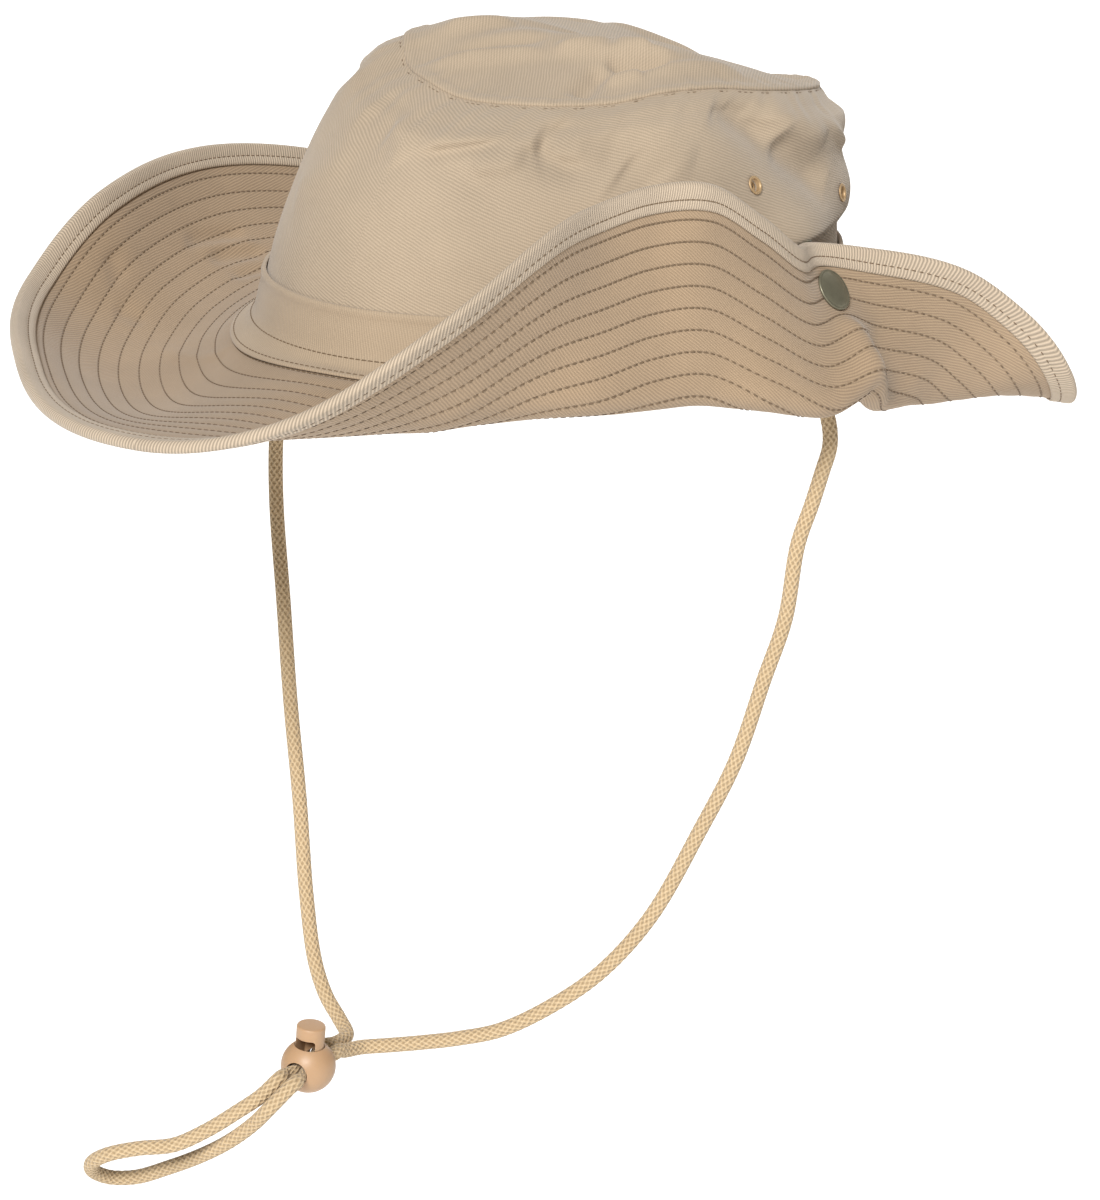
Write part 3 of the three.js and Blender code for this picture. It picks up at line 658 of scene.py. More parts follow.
def twill(name, colour, rib_turn, rows=False, rib_depth=0.06, spread=0.26):
    """Cotton twill: fine slanting ribs, soft blotches, a little fuzz, and grooves at the stitched rows, with
    painted shade in the grooves.
    """
    nodes = Nodes(name)
    light, dark = shades(colour, spread)
    flat = nodes.split(nodes.uv("flat"))
    cosine = math.cos(math.radians(rib_turn))
    sine = math.sin(math.radians(rib_turn))
    across = nodes.plus(nodes.times(flat[0], -sine), flat[1], cosine)
    along = nodes.plus(nodes.times(flat[0], cosine), flat[1], sine)
    across = nodes.plus(across, nodes.noise(nodes.uv("flat"), 0.12, 2), 0.9)
    rib = wave(nodes, across, RIB_PITCH)
    yarn = wave(nodes, nodes.plus(along, across, 0.5), YARN_PITCH)
    weave = nodes.plus(nodes.times(rib, 0.75), yarn, 0.25)
    fine = nodes.grain(2600, 2)
    blotch = nodes.grain(28, 4)
    broad = nodes.grain(9, 2)
    shade = nodes.plus(nodes.math("MULTIPLY_ADD", weave, 0.3, 0.42), fine, 0.2)
    shade = nodes.off_middle(nodes.off_middle(shade, blotch, 0.5), broad, 0.3)
    colour = nodes.mix(shade, dark, light)
    height = nodes.plus(nodes.times(weave, rib_depth), fine, 0.05)
    if rows:
        out = nodes.split(nodes.uv("strip"))[1]
        phase = nodes.math("DIVIDE", nodes.math("SUBTRACT", FIRST_ROW, out), ROW_PITCH)
        row = nodes.math("FRACT", nodes.math("ADD", phase, 0.5))
        off = nodes.math("ABSOLUTE", nodes.math("SUBTRACT", row, 0.5))
        groove = nodes.math("MINIMUM", nodes.times(nodes.times(off, off), 260), 1)
        height = nodes.plus(height, groove, 0.12)
        # Painted shade: the colour darkens in the grooves of the stitched rows.
        colour = nodes.mix(nodes.between(groove, 0.3, 0), colour, dark)
    rough = nodes.between(blotch, 0.82, 0.95)
    return nodes.finish(
        colour, rough, height, 0.9, Sheen_Weight=0.18, Sheen_Roughness=0.55, Specular_IOR_Level=0.2
    )


def ribbed_tape(name, colour):
    """Folded twill tape: fine ribs across it, slightly slanting."""
    nodes = Nodes(name)
    light, dark = shades(colour, 0.3)
    strip = nodes.split(nodes.uv("strip"))
    rib = wave(nodes, nodes.plus(strip[0], strip[1], 0.25), TAPE_RIB_PITCH)
    fine = nodes.grain(2400, 2)
    blotch = nodes.grain(40, 3)
    shade = nodes.plus(nodes.math("MULTIPLY_ADD", rib, 0.42, 0.42), fine, 0.2)
    colour = nodes.mix(nodes.off_middle(shade, blotch, 0.4), dark, light)
    height = nodes.plus(nodes.times(rib, 0.08), fine, 0.05)
    rough = nodes.between(blotch, 0.8, 0.94)
    return nodes.finish(colour, rough, height, 0.9, Sheen_Weight=0.15, Specular_IOR_Level=0.2)


def thread(name, light, dark):
    nodes = Nodes(name)
    spot = nodes.grain(900, 2)
    colour = nodes.mix(nodes.between(spot, 0.1, 0.9), dark, light)
    return nodes.finish(colour, nodes.between(spot, 0.5, 0.75), spot, 0.1)


def braid(name, light, dark):
    """The cord's cotton: yarns that cross over and under round the cord, with painted shade in the pits
    between them.
    """
    nodes = Nodes(name)
    strip = nodes.split(nodes.uv("strip"))
    run = nodes.times(strip[1], 2 * math.pi / PLAIT_LENGTH)
    one = nodes.math("ADD", strip[0], run)
    other = nodes.math("SUBTRACT", strip[0], run)
    first = nodes.math("COSINE", one)
    second = nodes.math("COSINE", other)
    halves = [nodes.math("COSINE", nodes.times(way, 0.5)) for way in (one, other)]
    over = nodes.math("GREATER_THAN", nodes.times(*halves), 0)
    under = nodes.math("SUBTRACT", 1, over)
    yarn = nodes.math("ADD", nodes.times(first, over), nodes.times(second, under))
    pit = nodes.math("MULTIPLY_ADD", nodes.math("MAXIMUM", first, second), 0.28, 0.28)
    height = nodes.math("ADD", nodes.math("MULTIPLY_ADD", yarn, 0.22, 0.22), pit)
    fine = nodes.grain(1900)
    blotch = nodes.grain(60, 2)
    # Painted shade: the colour follows the relief, lighter on the raised yarns and darker in the pits between
    # them.
    shade = nodes.off_middle(nodes.plus(height, fine, 0.24), blotch, 0.3)
    colour = nodes.mix(shade, dark, light)
    rough = nodes.between(blotch, 0.8, 0.95)
    height = nodes.plus(height, fine, 0.3)
    return nodes.finish(colour, rough, height, 0.4, Sheen_Weight=0.15, Specular_IOR_Level=0.2)


def metal(name, light, dark, roughness, shine):
    """Worn metal: darker in blotches, with fine scratches in its gloss."""
    nodes = Nodes(name)
    blotch = nodes.grain(420, 4)
    scratch = nodes.grain(2200, 5)
    colour = nodes.mix(nodes.between(blotch, 0.15, 0.9), dark, light)
    rough = nodes.between(scratch, roughness - 0.1, roughness + 0.14)
    return nodes.finish(colour, rough, nodes.plus(blotch, scratch, 0.4), 0.06, Metallic=shine)


def plastic(name, light, dark):
    """Moulded plastic with a slight grain."""
    nodes = Nodes(name)
    blotch = nodes.grain(120)
    grain = nodes.grain(1800)
    colour = nodes.mix(nodes.between(blotch, 0.1, 0.9), dark, light)
    depth = (0.003, 0.002, 0.001)
    rough = nodes.between(grain, 0.38, 0.52)
    return nodes.finish(colour, rough, grain, 0.03, Subsurface_Weight=0.08, Subsurface_Radius=depth)


CROWN_TWILL = twill("crown_twill", (0.400, 0.315, 0.224), -20)
TIP_TWILL = twill("tip_twill", (0.400, 0.315, 0.224), 126)
BRIM_TWILL = twill("brim_twill", (0.335, 0.238, 0.150), 100, rows=True, spread=0.32)
BAND_TWILL = twill("band_twill", (0.392, 0.300, 0.205), 70, spread=0.16)
SWEAT_TWILL = twill("sweatband_cloth", (0.45, 0.37, 0.27), 0, rib_depth=0.03, spread=0.14)
TAPE = ribbed_tape("binding_tape", (0.450, 0.362, 0.268))
# The thread's own brown, darkened as painted shade of the sunk stitch holes.
SEWING_THREAD = thread("sewing_thread", (0.2, 0.13, 0.072), (0.11, 0.07, 0.037))
CORD_BRAID = braid("cord_braid", (0.57, 0.43, 0.262), (0.33, 0.225, 0.12))
EYELET_METAL = metal("eyelet_metal", linear(206, 176, 134), linear(160, 132, 96), 0.5, 0.5)
SNAP_METAL = metal("snap_metal", linear(132, 128, 108), linear(98, 95, 78), 0.4, 0.55)
LOCK_PLASTIC = plastic("lock_plastic", (0.46, 0.29, 0.162), (0.41, 0.252, 0.138))


# Chin cord and lock


def lock_matrix():
    turn = Euler([math.radians(value) for value in LOCK_TURN], "XYZ")
    return Matrix.Translation(Vector(LOCK_PLACE)) @ turn.to_matrix().to_4x4()


LOCK = lock_matrix()


def through_lock(side, way):
    """One strand's way through the lock, from its end `way` to the other, with a straight lead at each."""
    aside = CORD_DIAMETER / 2 + LOCK_PLAY
    mouth = SQUEEZED_HALF_LENGTH + LOCK_PLAY
    places = [(aside, mouth + STRAIGHT_LEAD), (aside, mouth)]
    places += [(SQUEEZED_ASIDE, part * SQUEEZED_HALF_LENGTH) for part in (0.6, 0, -0.6)]
    places += [(aside, -mouth), (aside, -mouth - STRAIGHT_LEAD)]
    return [tuple(LOCK @ Vector((side * x, way * y, 0))) for x, y in places]


def smooth_path(points, step):
    """A smooth line through the points (centripetal Catmull-Rom), with a place every `step` millimetres."""
    points = np.array(points, float)
    first = 2 * points[0] - points[1]
    last = 2 * points[-1] - points[-2]
    padded = np.vstack([first, points, last])
    made = []
    for k in range(1, len(padded) - 2):
        p = padded[k - 1 : k + 3]
        t = lengths_along(np.sqrt(np.linalg.norm(np.diff(p, axis=0), axis=1)))
        count = max(2, int(np.linalg.norm(p[2] - p[1]) / 0.1))
        for value in np.linspace(t[1], t[2], count, endpoint=False):

            def blended(first, second, start, end):
                return (first * (t[end] - value) + second * (value - t[start])) / (t[end] - t[start])

            a = [blended(p[n], p[n + 1], n, n + 1) for n in range(3)]
            b = [blended(a[n], a[n + 1], n, n + 2) for n in range(2)]
            made.append(blended(b[0], b[1], 1, 2))
    made.append(points[-1])
    made = np.array(made)
    far = lengths_along(np.linalg.norm(np.diff(made, axis=0), axis=1))
    places = np.linspace(0, far[-1], int(far[-1] / step) + 1)
    return np.stack([np.interp(places, far, made[:, k]) for k in range(3)], 1), places


def carried_frames(path):
    """Two directions square to the path at each of its places, carried along without twist."""
    ahead = unit(np.gradient(path, axis=0))
    side = unit(np.cross(ahead[0], (0, 0, 1)))
    sides = []
    for direction in ahead:
        side = unit(side - direction * np.dot(side, direction))
        sides.append(side)
    sides = np.array(sides)
    return sides, np.cross(ahead, sides)


def add_cord():
    route = [*RIGHT_STRAND, *through_lock(-1, 1), *TAIL, *through_lock(1, -1), *reversed(LEFT_STRAND)]
    path, places = smooth_path(route, CORD_STEP)
    sides, ups = carried_frames(path)
    corners = CORD_CORNERS
    turn = np.arange(corners) * 2 * math.pi / corners
    wrap = PLAIT_YARNS * turn[None, :]
    run = 2 * math.pi * places[:, None] / PLAIT_LENGTH
    relief = 0.5 + 0.5 * np.maximum(np.cos(wrap + run), np.cos(wrap - run))
    centre = np.array(LOCK_PLACE, float)
    axis = np.array(LOCK.to_3x3() @ Vector((0, 1, 0)))
    inside = np.abs((path - centre) @ axis)
    near = np.linalg.norm(path - centre, axis=1) < 14
    squeeze = np.where(near, smooth((12.5 - inside) / 4), 0)[:, None]
    radius = CORD_DIAMETER / 2 - PLAIT_DEPTH + PLAIT_DEPTH * relief
    across = np.array(LOCK.to_3x3() @ Vector((1, 0, 0)))
    rim = sides[:, None, :] * np.cos(turn)[None, :, None] + ups[:, None, :] * np.sin(turn)[None, :, None]
    sideways = (rim @ across)[..., None] * across
    rim = rim - sideways * (squeeze * 0.4)[..., None]
    rim = rim * (1 - 0.08 * squeeze)[..., None]
    points = path[:, None, :] + rim * radius[..., None]
    count = len(path)
    i, j = np.meshgrid(np.arange(count - 1), np.arange(corners), indexing="ij")
    j2 = (j + 1) % corners
    quads = np.stack([i * corners + j, i * corners + j2, (i + 1) * corners + j2, (i + 1) * corners + j], -1)
    turned = PLAIT_YARNS * 2 * math.pi / corners * np.stack([j, j + 1, j + 1, j], -1)
    along = np.stack([places[i], places[i], places[i + 1], places[i + 1]], -1)
    strip = np.stack([turned, along], -1).reshape(-1, 4, 2)
    piece = mesh_object("chin_cord", points.reshape(-1, 3), quads.reshape(-1, 4), {"strip": strip})
    close_ends(piece)
    parts = ("left", "right", "tail", "lock_left", "lock_right")
    finish_piece(piece, CORD_BRAID, [f"chin_cord_{part}" for part in parts])
    return piece, path * MM, places[-1] * MM


def close_ends(piece):
    mesh = bmesh.new()
    mesh.from_mesh(piece.data)
    bmesh.ops.holes_fill(mesh, edges=[edge for edge in mesh.edges if edge.is_boundary], sides=0)
    bmesh.ops.recalc_face_normals(mesh, faces=mesh.faces)
    mesh.to_mesh(piece.data)
    mesh.free()


add_camera()
cord, cord_path, cord_length = add_cord()


# Turned and cut pieces


def piece_of(mesh, name):
    """An object from a bmesh, which it frees, with its faces turned outward."""
    bmesh.ops.recalc_face_normals(mesh, faces=mesh.faces)
    data = bpy.data.meshes.new(name)
    mesh.to_mesh(data)
    mesh.free()
    return placed(name, data)


def turned_object(name, profile, sides, matrix, smooth_angle=35):
    """A turned piece about +Z from (radius, height) pairs, from axis to axis or closed on themselves."""
    mesh = bmesh.new()
    closed = profile[0] == profile[-1]
    rings = []
    for radius, height in profile[:-1] if closed else profile:
        ring = []
        for k in range(sides if radius else 1):
            turn = 2 * math.pi * k / sides
            place = Vector((radius * math.cos(turn), radius * math.sin(turn), height))
            ring.append(mesh.verts.new(matrix @ place * MM))
        rings.append(ring)
    pairs = list(zip(rings, rings[1:])) + ([(rings[-1], rings[0])] if closed else [])
    for lower, upper in pairs:
        for k in range(sides):
            after = (k + 1) % sides
            corners = ((lower, k), (lower, after), (upper, after), (upper, k))
            face = [ring[place % len(ring)] for ring, place in corners]
            mesh.faces.new(list(dict.fromkeys(face)))
    piece = piece_of(mesh, name)
    piece.data.shade_smooth()
    piece.data.set_sharp_from_angle(angle=math.radians(smooth_angle))
    return piece


def rod(name, radius, low, high, sides, matrix):
    return turned_object(name, [(0, low), (radius, low), (radius, high), (0, high)], sides, matrix)


def standing_on(point, direction):
    direction = Vector(direction).normalized()
    turn = Vector((0, 0, 1)).rotation_difference(direction).to_matrix().to_4x4()
    return Matrix.Translation(Vector(point)) @ turn


def rounded(points, radius, steps=4):
    """A profile with its inner corners rounded off."""
    made = [points[0]]
    for before, corner, after in zip(points, points[1:], points[2:]):
        before, corner, after = Vector(before), Vector(corner), Vector(after)
        back = before - corner
        ahead = after - corner
        cut = min(radius, back.length / 2.1, ahead.length / 2.1)
        start = corner + back.normalized() * cut
        end = corner + ahead.normalized() * cut
        for k in range(steps + 1):
            t = k / steps
            made.append(tuple(start * (1 - t) ** 2 + corner * 2 * t * (1 - t) + end * t * t))
    made.append(points[-1])
    return made


def cut_away(piece, cutters):
    for cutter in cutters:
        modifier = piece.modifiers.new("cut", "BOOLEAN")
        modifier.operation = "DIFFERENCE"
        modifier.solver = "EXACT"
        modifier.object = cutter
    apply_modifiers(piece)
    for cutter in cutters:
        bpy.data.objects.remove(cutter)


def soften_edges(piece, width, segments=3):
    modifier = piece.modifiers.new("edges", "BEVEL")
    modifier.width = width * MM
    modifier.segments = segments
    modifier.limit_method = "ANGLE"
    modifier.angle_limit = math.radians(40)
    modifier.use_clamp_overlap = True
    apply_modifiers(piece)
    piece.data.shade_smooth()
    piece.data.set_sharp_from_angle(angle=math.radians(40))


def window_cutter():
    """The button's window for the two strands: a slot with rounded corners that runs right through."""
    corners = [
        (WINDOW_HALF_WIDTH, WINDOW_LOW), (WINDOW_HALF_WIDTH, WINDOW_HIGH),
        (-WINDOW_HALF_WIDTH, WINDOW_HIGH), (-WINDOW_HALF_WIDTH, WINDOW_LOW),
    ]
    outline = rounded([(0, WINDOW_LOW), *corners, (0, WINDOW_LOW)], 1.2, 4)[:-1]
    count = len(outline)
    mesh = bmesh.new()
    ends = []
    for y in (-PAST_LOCK, PAST_LOCK):
        ends.append([mesh.verts.new(LOCK @ Vector((x, y, z)) * MM) for x, z in outline])
    mesh.faces.new(ends[0])
    mesh.faces.new(list(reversed(ends[1])))
    for k in range(count):
        after = (k + 1) % count
        mesh.faces.new([ends[0][after], ends[0][k], ends[1][k], ends[1][after]])
    return piece_of(mesh, "window")


def add_lock():
    turns = [math.pi * k / 40 for k in range(1, 40)]
    curve = [(BALL_RADIUS * math.sin(turn), -BALL_RADIUS * math.cos(turn)) for turn in turns]
    ball = turned_object("lock_ball", [(0, -BALL_RADIUS), *curve, (0, BALL_RADIUS)], 64, LOCK, 60)
    bore_low = BUTTON_LOW - BUTTON_TRAVEL - LOCK_PLAY
    bore = rod("bore", BUTTON_RADIUS + LOCK_PLAY, bore_low, PAST_LOCK, 48, LOCK)
    hole = rod("hole", CORD_HOLE, -PAST_LOCK, PAST_LOCK, 48, LOCK @ Matrix.Rotation(math.radians(90), 4, "X"))
    cut_away(ball, [bore, hole])
    soften_edges(ball, 0.45)
    finish_piece(ball, LOCK_PLASTIC, ("cord_lock_ball",))

    side = [(BUTTON_RADIUS, BUTTON_LOW), (BUTTON_RADIUS, BUTTON_HIGH)]
    profile = rounded([(0, BUTTON_LOW), *side, (0, BUTTON_HIGH + 0.15)], 0.8, 5)
    button = turned_object("lock_button", profile, 48, LOCK, 50)
    cut_away(button, [window_cutter()])
    soften_edges(button, 0.3)
    finish_piece(button, LOCK_PLASTIC, ("cord_lock_button",), "button")
    return ball, button


lock_ball, lock_button = add_lock()


# Brim


def brim_section():
    """Places across the brim and the side of the cloth they lie on, as a closed loop."""
    last = BRIM_WIDTH - 1.3
    rows = FIRST_ROW - ROW_PITCH * np.arange(ROW_COUNT)
    edges = np.sort(np.concatenate([rows, [last, -BRIM_ROOT]]))
    places = np.concatenate([np.linspace(a, b, 7)[:-1] for a, b in zip(edges, edges[1:])] + [[last]])
    near = np.abs((FIRST_ROW - places) / ROW_PITCH - np.round((FIRST_ROW - places) / ROW_PITCH))
    puff = 0.2 * np.where((places < FIRST_ROW + 1) & (places > 2), smooth(near / 0.3) - 1, 0)
    half = BRIM_CLOTH / 2
    return places, half + puff


def brim_row(out, above, reach):
    """A row of stitches round the brim, above the middle of its cloth, or below where above is negative."""

    def place(turns):
        points = brim_point(turns, np.array([out, out]), np.array([above, 0]))
        return points[:, 0], points[:, 0] - points[:, 1]

    return row_of_stitches(place, HEAD_ROUND + 2 * math.pi * reach)


def add_brim():
    angle = angles(480)
    places, half = brim_section()
    across = np.concatenate([places, places[::-1]])
    above = np.concatenate([-half, half[::-1]])
    points = brim_point(angle, across, above)
    uvs = cloth_uvs(angle, across, 92, turned_flat=True)
    piece = ring_object("brim_cloth", points, uvs)
    finish_piece(piece, BRIM_TWILL, ("brim",))

    rows = [FIRST_ROW - ROW_PITCH * k for k in range(ROW_COUNT)]
    for name, side in (("brim_stitching_above", 1), ("brim_stitching_below", -1)):
        above = side * (BRIM_CLOTH / 2 - STITCH_SUNK)
        sew(name, [brim_row(out, above, out) for out in rows], "brim_twill")


def tape_section():
    start = BRIM_WIDTH - TAPE_WIDTH
    inner = BRIM_CLOTH / 2 + 0.12
    outer = inner + TAPE_CLOTH
    end = BRIM_WIDTH - 1.0
    there = [(start, inner), (start - 0.1, inner + 0.4), (start + 0.5, outer - 0.05), (start + 1.6, outer)]
    there += [(start + 2.6, outer - 0.12), (start + 3, outer - 0.22)]
    there += [(start + 3.4, outer - 0.1), (start + 4.6, outer + 0.05)]
    turns = np.radians(np.linspace(90, -90, 13))
    bend = [(end + (outer + 0.1) * math.cos(turn) * 0.8, outer * math.sin(turn)) for turn in turns]
    back = [(u, -v) for u, v in reversed(there)]
    inside = [(end - 0.6, -inner), (end, -inner * 0.5), (end, inner * 0.5), (end - 0.6, inner)]
    return there + bend + back + inside


def add_binding():
    angle = angles(720)
    section = np.array(tape_section())
    points = brim_point(angle, section[:, 0], section[:, 1])
    far = lengths_along(np.linalg.norm(np.diff(section, axis=0), axis=1))
    piece = ring_object("binding", points, cloth_uvs(angle, far, 165))
    finish_piece(piece, TAPE, ("brim_binding",))
    out = BRIM_WIDTH - TAPE_WIDTH + 3
    rows = [brim_row(out, side * (BRIM_CLOTH / 2 + 0.72), BRIM_WIDTH) for side in (1, -1)]
    sew("binding_stitching", rows, "tape")


add_brim()
add_binding()


# Crown


def add_crown():
    angle = angles(480)
    ups = np.unique(np.concatenate([np.linspace(0, 0.9, 64), np.linspace(0.9, 1, 14)]))
    face = crown_skin(angle, ups)
    square = square_to(face)
    square[..., 2] *= smooth(ups / 0.1)
    seam = smooth((ups - 0.972) / 0.006) * smooth((1.004 - ups) / 0.006)
    hem = 0.22 * seam[None, :, None]
    gathers = np.sin(np.radians(angle) * 46) + 0.6 * np.sin(np.radians(angle) * 73 + 1)
    pucker = 0.16 * gathers[:, None] * (smooth((ups - 0.84) / 0.13) * smooth((1 - ups) / 0.02))[None, :]
    outer = face + square * (hem + pucker[..., None])
    inner_ups = np.linspace(1, 0, 26)
    inner_face = crown_face(angle, inner_ups)
    inner_square = square_to(inner_face[:, ::-1])[:, ::-1]
    inner_square[..., 2] *= smooth(inner_ups / 0.1)
    inner = inner_face - inner_square * CROWN_CLOTH
    points = np.concatenate([outer, inner], 1)
    height = lengths_along(np.linalg.norm(np.diff(face, axis=1), axis=-1).mean(0))
    across = np.concatenate([height, np.interp(inner_ups, ups, height)])
    crown = ring_object("crown_cloth", points, cloth_uvs(angle, across, 84))
    finish_piece(crown, CROWN_TWILL, ("crown_side",))

    def place(turns):
        ups = np.linspace(0.95, 1, 60)
        skin = crown_skin(turns, ups)
        far = np.linalg.norm(skin - skin[:, -1:], axis=-1)
        at = np.array([np.interp(-TOPSTITCH_OFF, -reach, ups) for reach in far])
        about = at[:, None] + np.array([-0.003, 0, 0.003])
        near = crown_skin(turns, about)
        ahead = crown_skin(turns + 0.5, about)
        up = unit(np.cross(ahead[:, 1] - near[:, 1], near[:, 2] - near[:, 0]))
        return near[:, 1] + up * 0.12, up

    sew("tip_topstitch", [row_of_stitches(place, 430, 2.4)], "twill", length=1.7)
    return crown


def add_tip():
    angle = angles(360)
    parts = np.unique(np.concatenate([np.linspace(0.004, 0.9, 60), np.linspace(0.9, 1, 16)]))
    face = tip_face(angle, parts)
    seam_roll = 0.35 * smooth((parts - 0.94) / 0.03) * smooth((1.0 - parts) / 0.02 + 0.35)
    face[..., 2] += seam_roll
    gathers = np.sin(np.radians(angle) * 44 + 0.5) + 0.6 * np.sin(np.radians(angle) * 71)
    pucker = 0.14 * gathers[:, None] * smooth((parts - 0.82) / 0.12)[None, :]
    face[..., 2] += pucker * (1 - smooth((parts - 0.97) / 0.03))[None, :]
    edge = face[:, -1:, :].copy()
    edge[..., 2] -= 0.9
    inner_parts = np.linspace(0.985, 0.004, 24)
    inner = tip_face(angle, inner_parts)
    inner[..., 2] -= CROWN_CLOTH
    points = np.concatenate([face, edge, inner], 1)
    flat = np.concatenate([points, points[:1]])[:, :, :2]
    flat = np.concatenate([flat, flat[:, :1]], 1)
    piece = ring_object("tip_cloth", points, {"flat": flat, "strip": flat})
    finish_piece(piece, TIP_TWILL, ("crown_tip",))


def add_bands():
    angle = angles(480)
    clear = 0.4
    top = np.array([
        (BAND_HEIGHT - 0.3, clear), (BAND_HEIGHT, clear + 0.5), (BAND_HEIGHT - 0.2, clear + 1.3),
        (BAND_HEIGHT - 1.2, clear + 1.5), (BAND_HEIGHT - 2.4, clear + 1.15),
        (BAND_HEIGHT - 3.2, clear + 0.95), (14, clear + 1), (12, clear + 1), (10, clear + 1),
        (8, clear + 1), (6.6, clear + 1.05), (5.4, clear + 1.3),
    ])
    flange = np.array([
        (2.1, 3.1), (2.7, 2.55), (3.5, 2.25), (4.5, 2.1), (5.6, 2.05), (6.6, 2.15),
        (7.2, 1.95), (7.35, 1.6), (7.1, 1.3), (6, 1.2), (4.4, 1.25), (2.9, 1.4),
    ])
    inside = np.array([(3.6, clear + 0.5), (5, clear), (9, clear), (14, clear)])
    points = np.concatenate([
        foot_point(angle, top[:, 0], top[:, 1]),
        brim_point(angle, flange[:, 0], flange[:, 1]),
        foot_point(angle, inside[:, 0], inside[:, 1]),
    ], 1)
    far = lengths_along(np.linalg.norm(np.diff(points, axis=1), axis=-1).mean(0))
    piece = ring_object("band_cloth", points, cloth_uvs(angle, far, 86))
    finish_piece(piece, BAND_TWILL, ("hat_band",))

    def bend_row(turns):
        near = foot_point(turns, np.array([4.9, 4.8]), np.array([clear + 1.6, clear + 1.7]))
        return near[:, 1], unit(head_opening(turns)[1] + np.array([0, 0, 0.9]))

    def edge_row(turns):
        points = brim_point(turns, np.array([5.6, 5.6]), np.array([2.1, 3.1]))
        return points[:, 0], points[:, 1] - points[:, 0]

    rows = [row_of_stitches(place, 600, 2.4) for place in (bend_row, edge_row)]
    sew("band_stitching", rows, "band")

    outside = -BRIM_ROOT - clear
    lining = [(height, outside) for height in np.linspace(SWEATBAND_HIGH, SWEATBAND_LOW, 14)]
    lining += [(SWEATBAND_LOW - 0.3, outside - 0.5)]
    lining += [(height, outside - 1.0) for height in np.linspace(SWEATBAND_LOW, SWEATBAND_HIGH, 14)]
    lining += [(SWEATBAND_HIGH + 0.3, outside - 0.5)]
    lining = np.array(lining)
    points = foot_point(angle, lining[:, 0], lining[:, 1])
    piece = ring_object("sweatband_lining", points, cloth_uvs(angle, lining[:, 0], 82))
    finish_piece(piece, SWEAT_TWILL, ("sweatband",))


crown = add_crown()
add_tip()
add_bands()


# Metal fittings


def surface_frame(face, angle, place, half_turn, half_place):
    """A place on the cloth with +Z square to it, away from the middle of the hat."""
    turns = np.array([angle - half_turn, angle, angle + half_turn])
    grid = face(turns, np.array([place - half_place, place, place + half_place]))
    direction = np.cross(grid[2, 1] - grid[0, 1], grid[1, 2] - grid[1, 0])
    return standing_on(grid[1, 1], direction)


def add_eyelets(crown):
    barrel = EYELET_HOLE
    cutters = []
    outer = [
        (barrel, -0.8), (barrel + 0.15, -0.8), (barrel + 0.15, 0.1), (2.65, 0.18), (2.9, 0.3), (2.95, 0.5),
        (2.75, 0.74), (2.45, 0.8), (barrel + 0.2, 0.7), (barrel + 0.02, 0.4), (barrel, 0), (barrel, -0.8),
    ]
    edge = barrel + 0.25
    washer = [(edge, -1.6), (2.9, -1.6), (3, -1.8), (2.7, -2.1), (2.1, -2.2), (edge, -2.1), (edge, -1.6)]
    for name, angle, up in EYELETS:
        matrix = surface_frame(crown_face, angle, up, 2, 0.03)
        ring = turned_object(name + "_ring", rounded(outer, 0.12, 2), 40, matrix, 50)
        finish_piece(ring, EYELET_METAL, (name,))
        back = turned_object(name + "_washer", washer, 32, matrix, 50)
        finish_piece(back, EYELET_METAL, ())
        cutters.append(rod(name + "_hole", barrel + 0.1, -4, 3, 32, matrix))
    cut_away(crown, cutters)


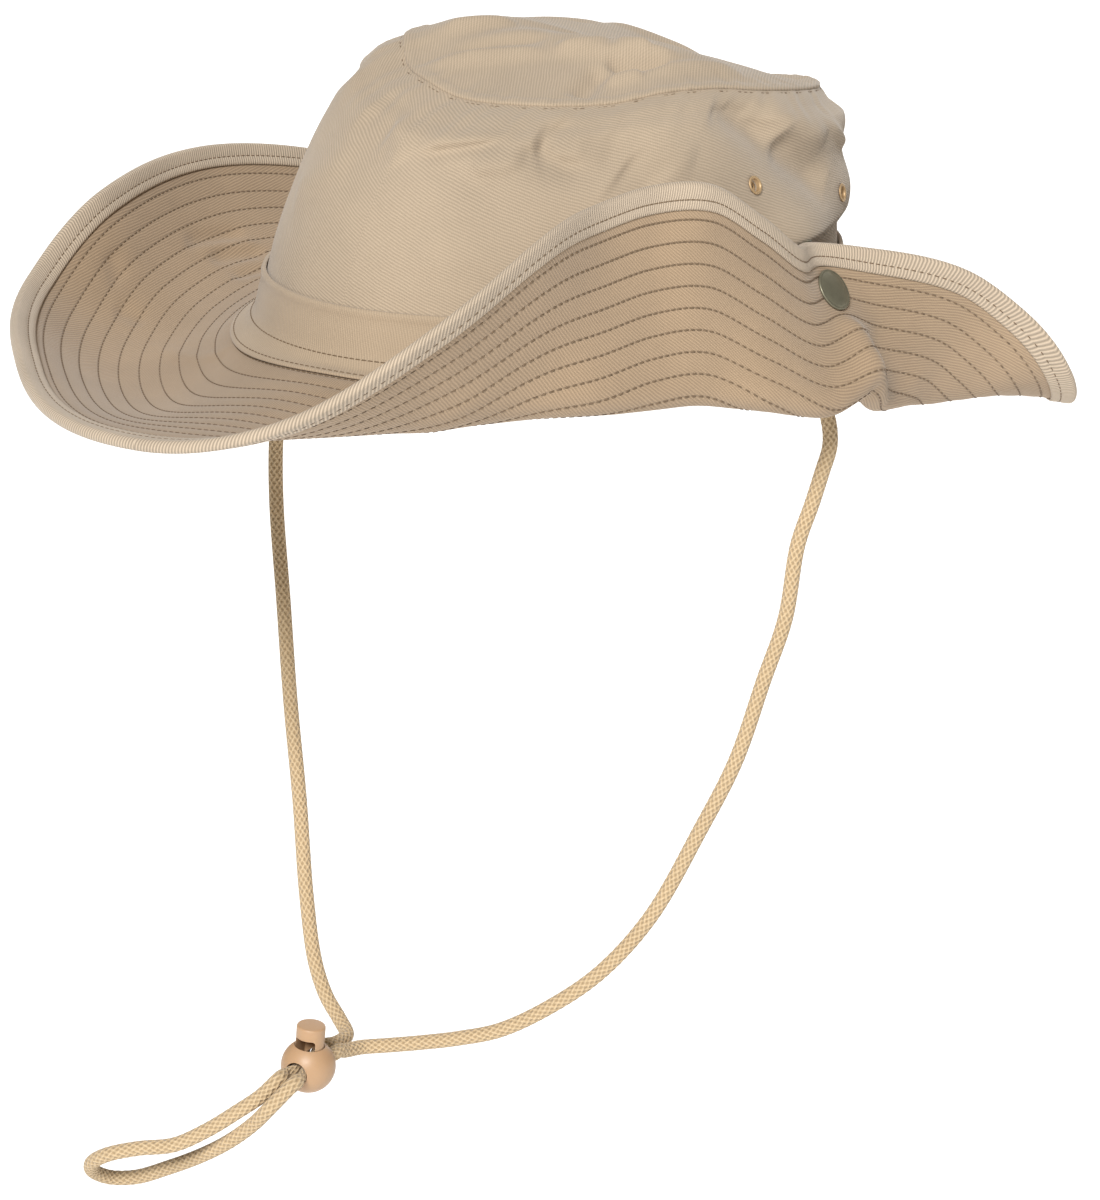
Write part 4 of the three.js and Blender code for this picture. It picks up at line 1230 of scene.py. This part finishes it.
def add_snap():
    matrix = surface_frame(lambda turns, along: brim_point(turns, along, 0.0), SNAP_ANGLE, SNAP_ALONG, 2.5, 4)
    dome = [
        (0, 3.05), (2.4, 2.98), (4.2, 2.75), (5.4, 2.45), (5.9, 2.2), (6.1, 2.3), (6.45, 2.3), (6.7, 2),
        (6.65, 1.6), (6.2, 1.35),
    ]
    socket = [
        (2, 1.35), (2, -1.35), (4.4, -1.35), (4.6, -1.6), (4.6, -2.6), (4.3, -2.9), (3, -2.95), (2.6, -2.5),
        (0, -2.4),
    ]
    cap = turned_object("snap_cap_metal", rounded(dome + socket, 0.25, 3), 56, matrix, 50)
    finish_piece(cap, SNAP_METAL, ("snap_cap",))

    matrix = surface_frame(crown_face, SNAP_ANGLE, 0.36, 2, 0.03)
    stud = [(0, 1.6), (1.4, 1.5), (1.75, 1.1), (1.5, 0.8), (2.4, 0.75), (3.4, 0.7)]
    stud += [(3.6, 0.45), (3.5, 0.2), (0, 0.2)]
    piece = turned_object("snap_stud_metal", rounded(stud, 0.15, 3), 40, matrix, 50)
    finish_piece(piece, SNAP_METAL, ("snap_stud",))


add_eyelets(crown)
add_snap()


# Floor and light, in metres

FLOOR_HEIGHT = -1.2
FLOOR_REACH = 30


def add_floor():
    data = bpy.data.meshes.new("floor")
    ways = ((-1, -1), (1, -1), (1, 1), (-1, 1))
    corners = [(x * FLOOR_REACH, y * FLOOR_REACH, FLOOR_HEIGHT) for x, y in ways]
    data.from_pydata(corners, [], [(0, 1, 2, 3)])
    floor = placed("floor", data)
    nodes = Nodes("floor_paper")
    grain = nodes.grain(3, 2)
    nodes.link(nodes.mix(grain, (0.93, 0.93, 0.93), (0.96, 0.96, 0.96)), nodes.shader.inputs["Base Color"])
    white = (1, 1, 1, 1)
    paper = nodes.hold(Roughness=0.9, Specular_IOR_Level=0.1, Emission_Color=white, Emission_Strength=0.3)
    data.materials.append(paper)


def add_sun(name, azimuth, elevation, strength, softness):
    """A far soft lamp; azimuth, elevation and softness in degrees."""
    data = bpy.data.lights.new(name, "SUN")
    data.energy = strength
    data.angle = math.radians(softness)
    placed(name, data).rotation_euler = (math.radians(90 - elevation), 0, math.radians(azimuth))


def add_light():
    world = bpy.data.worlds.new("studio")
    world.use_nodes = True
    background = world.node_tree.nodes["Background"]
    background.inputs["Color"].default_value = (1, 0.95, 0.88, 1)
    background.inputs["Strength"].default_value = 0.17
    bpy.context.scene.world = world
    add_sun("key", 28, 35, 4.1, 20)
    add_sun("back_fill", 205, 32, 1.1, 60)
    bpy.context.scene.view_settings.view_transform = "Standard"


add_floor()
add_light()

bpy.context.view_layer.update()
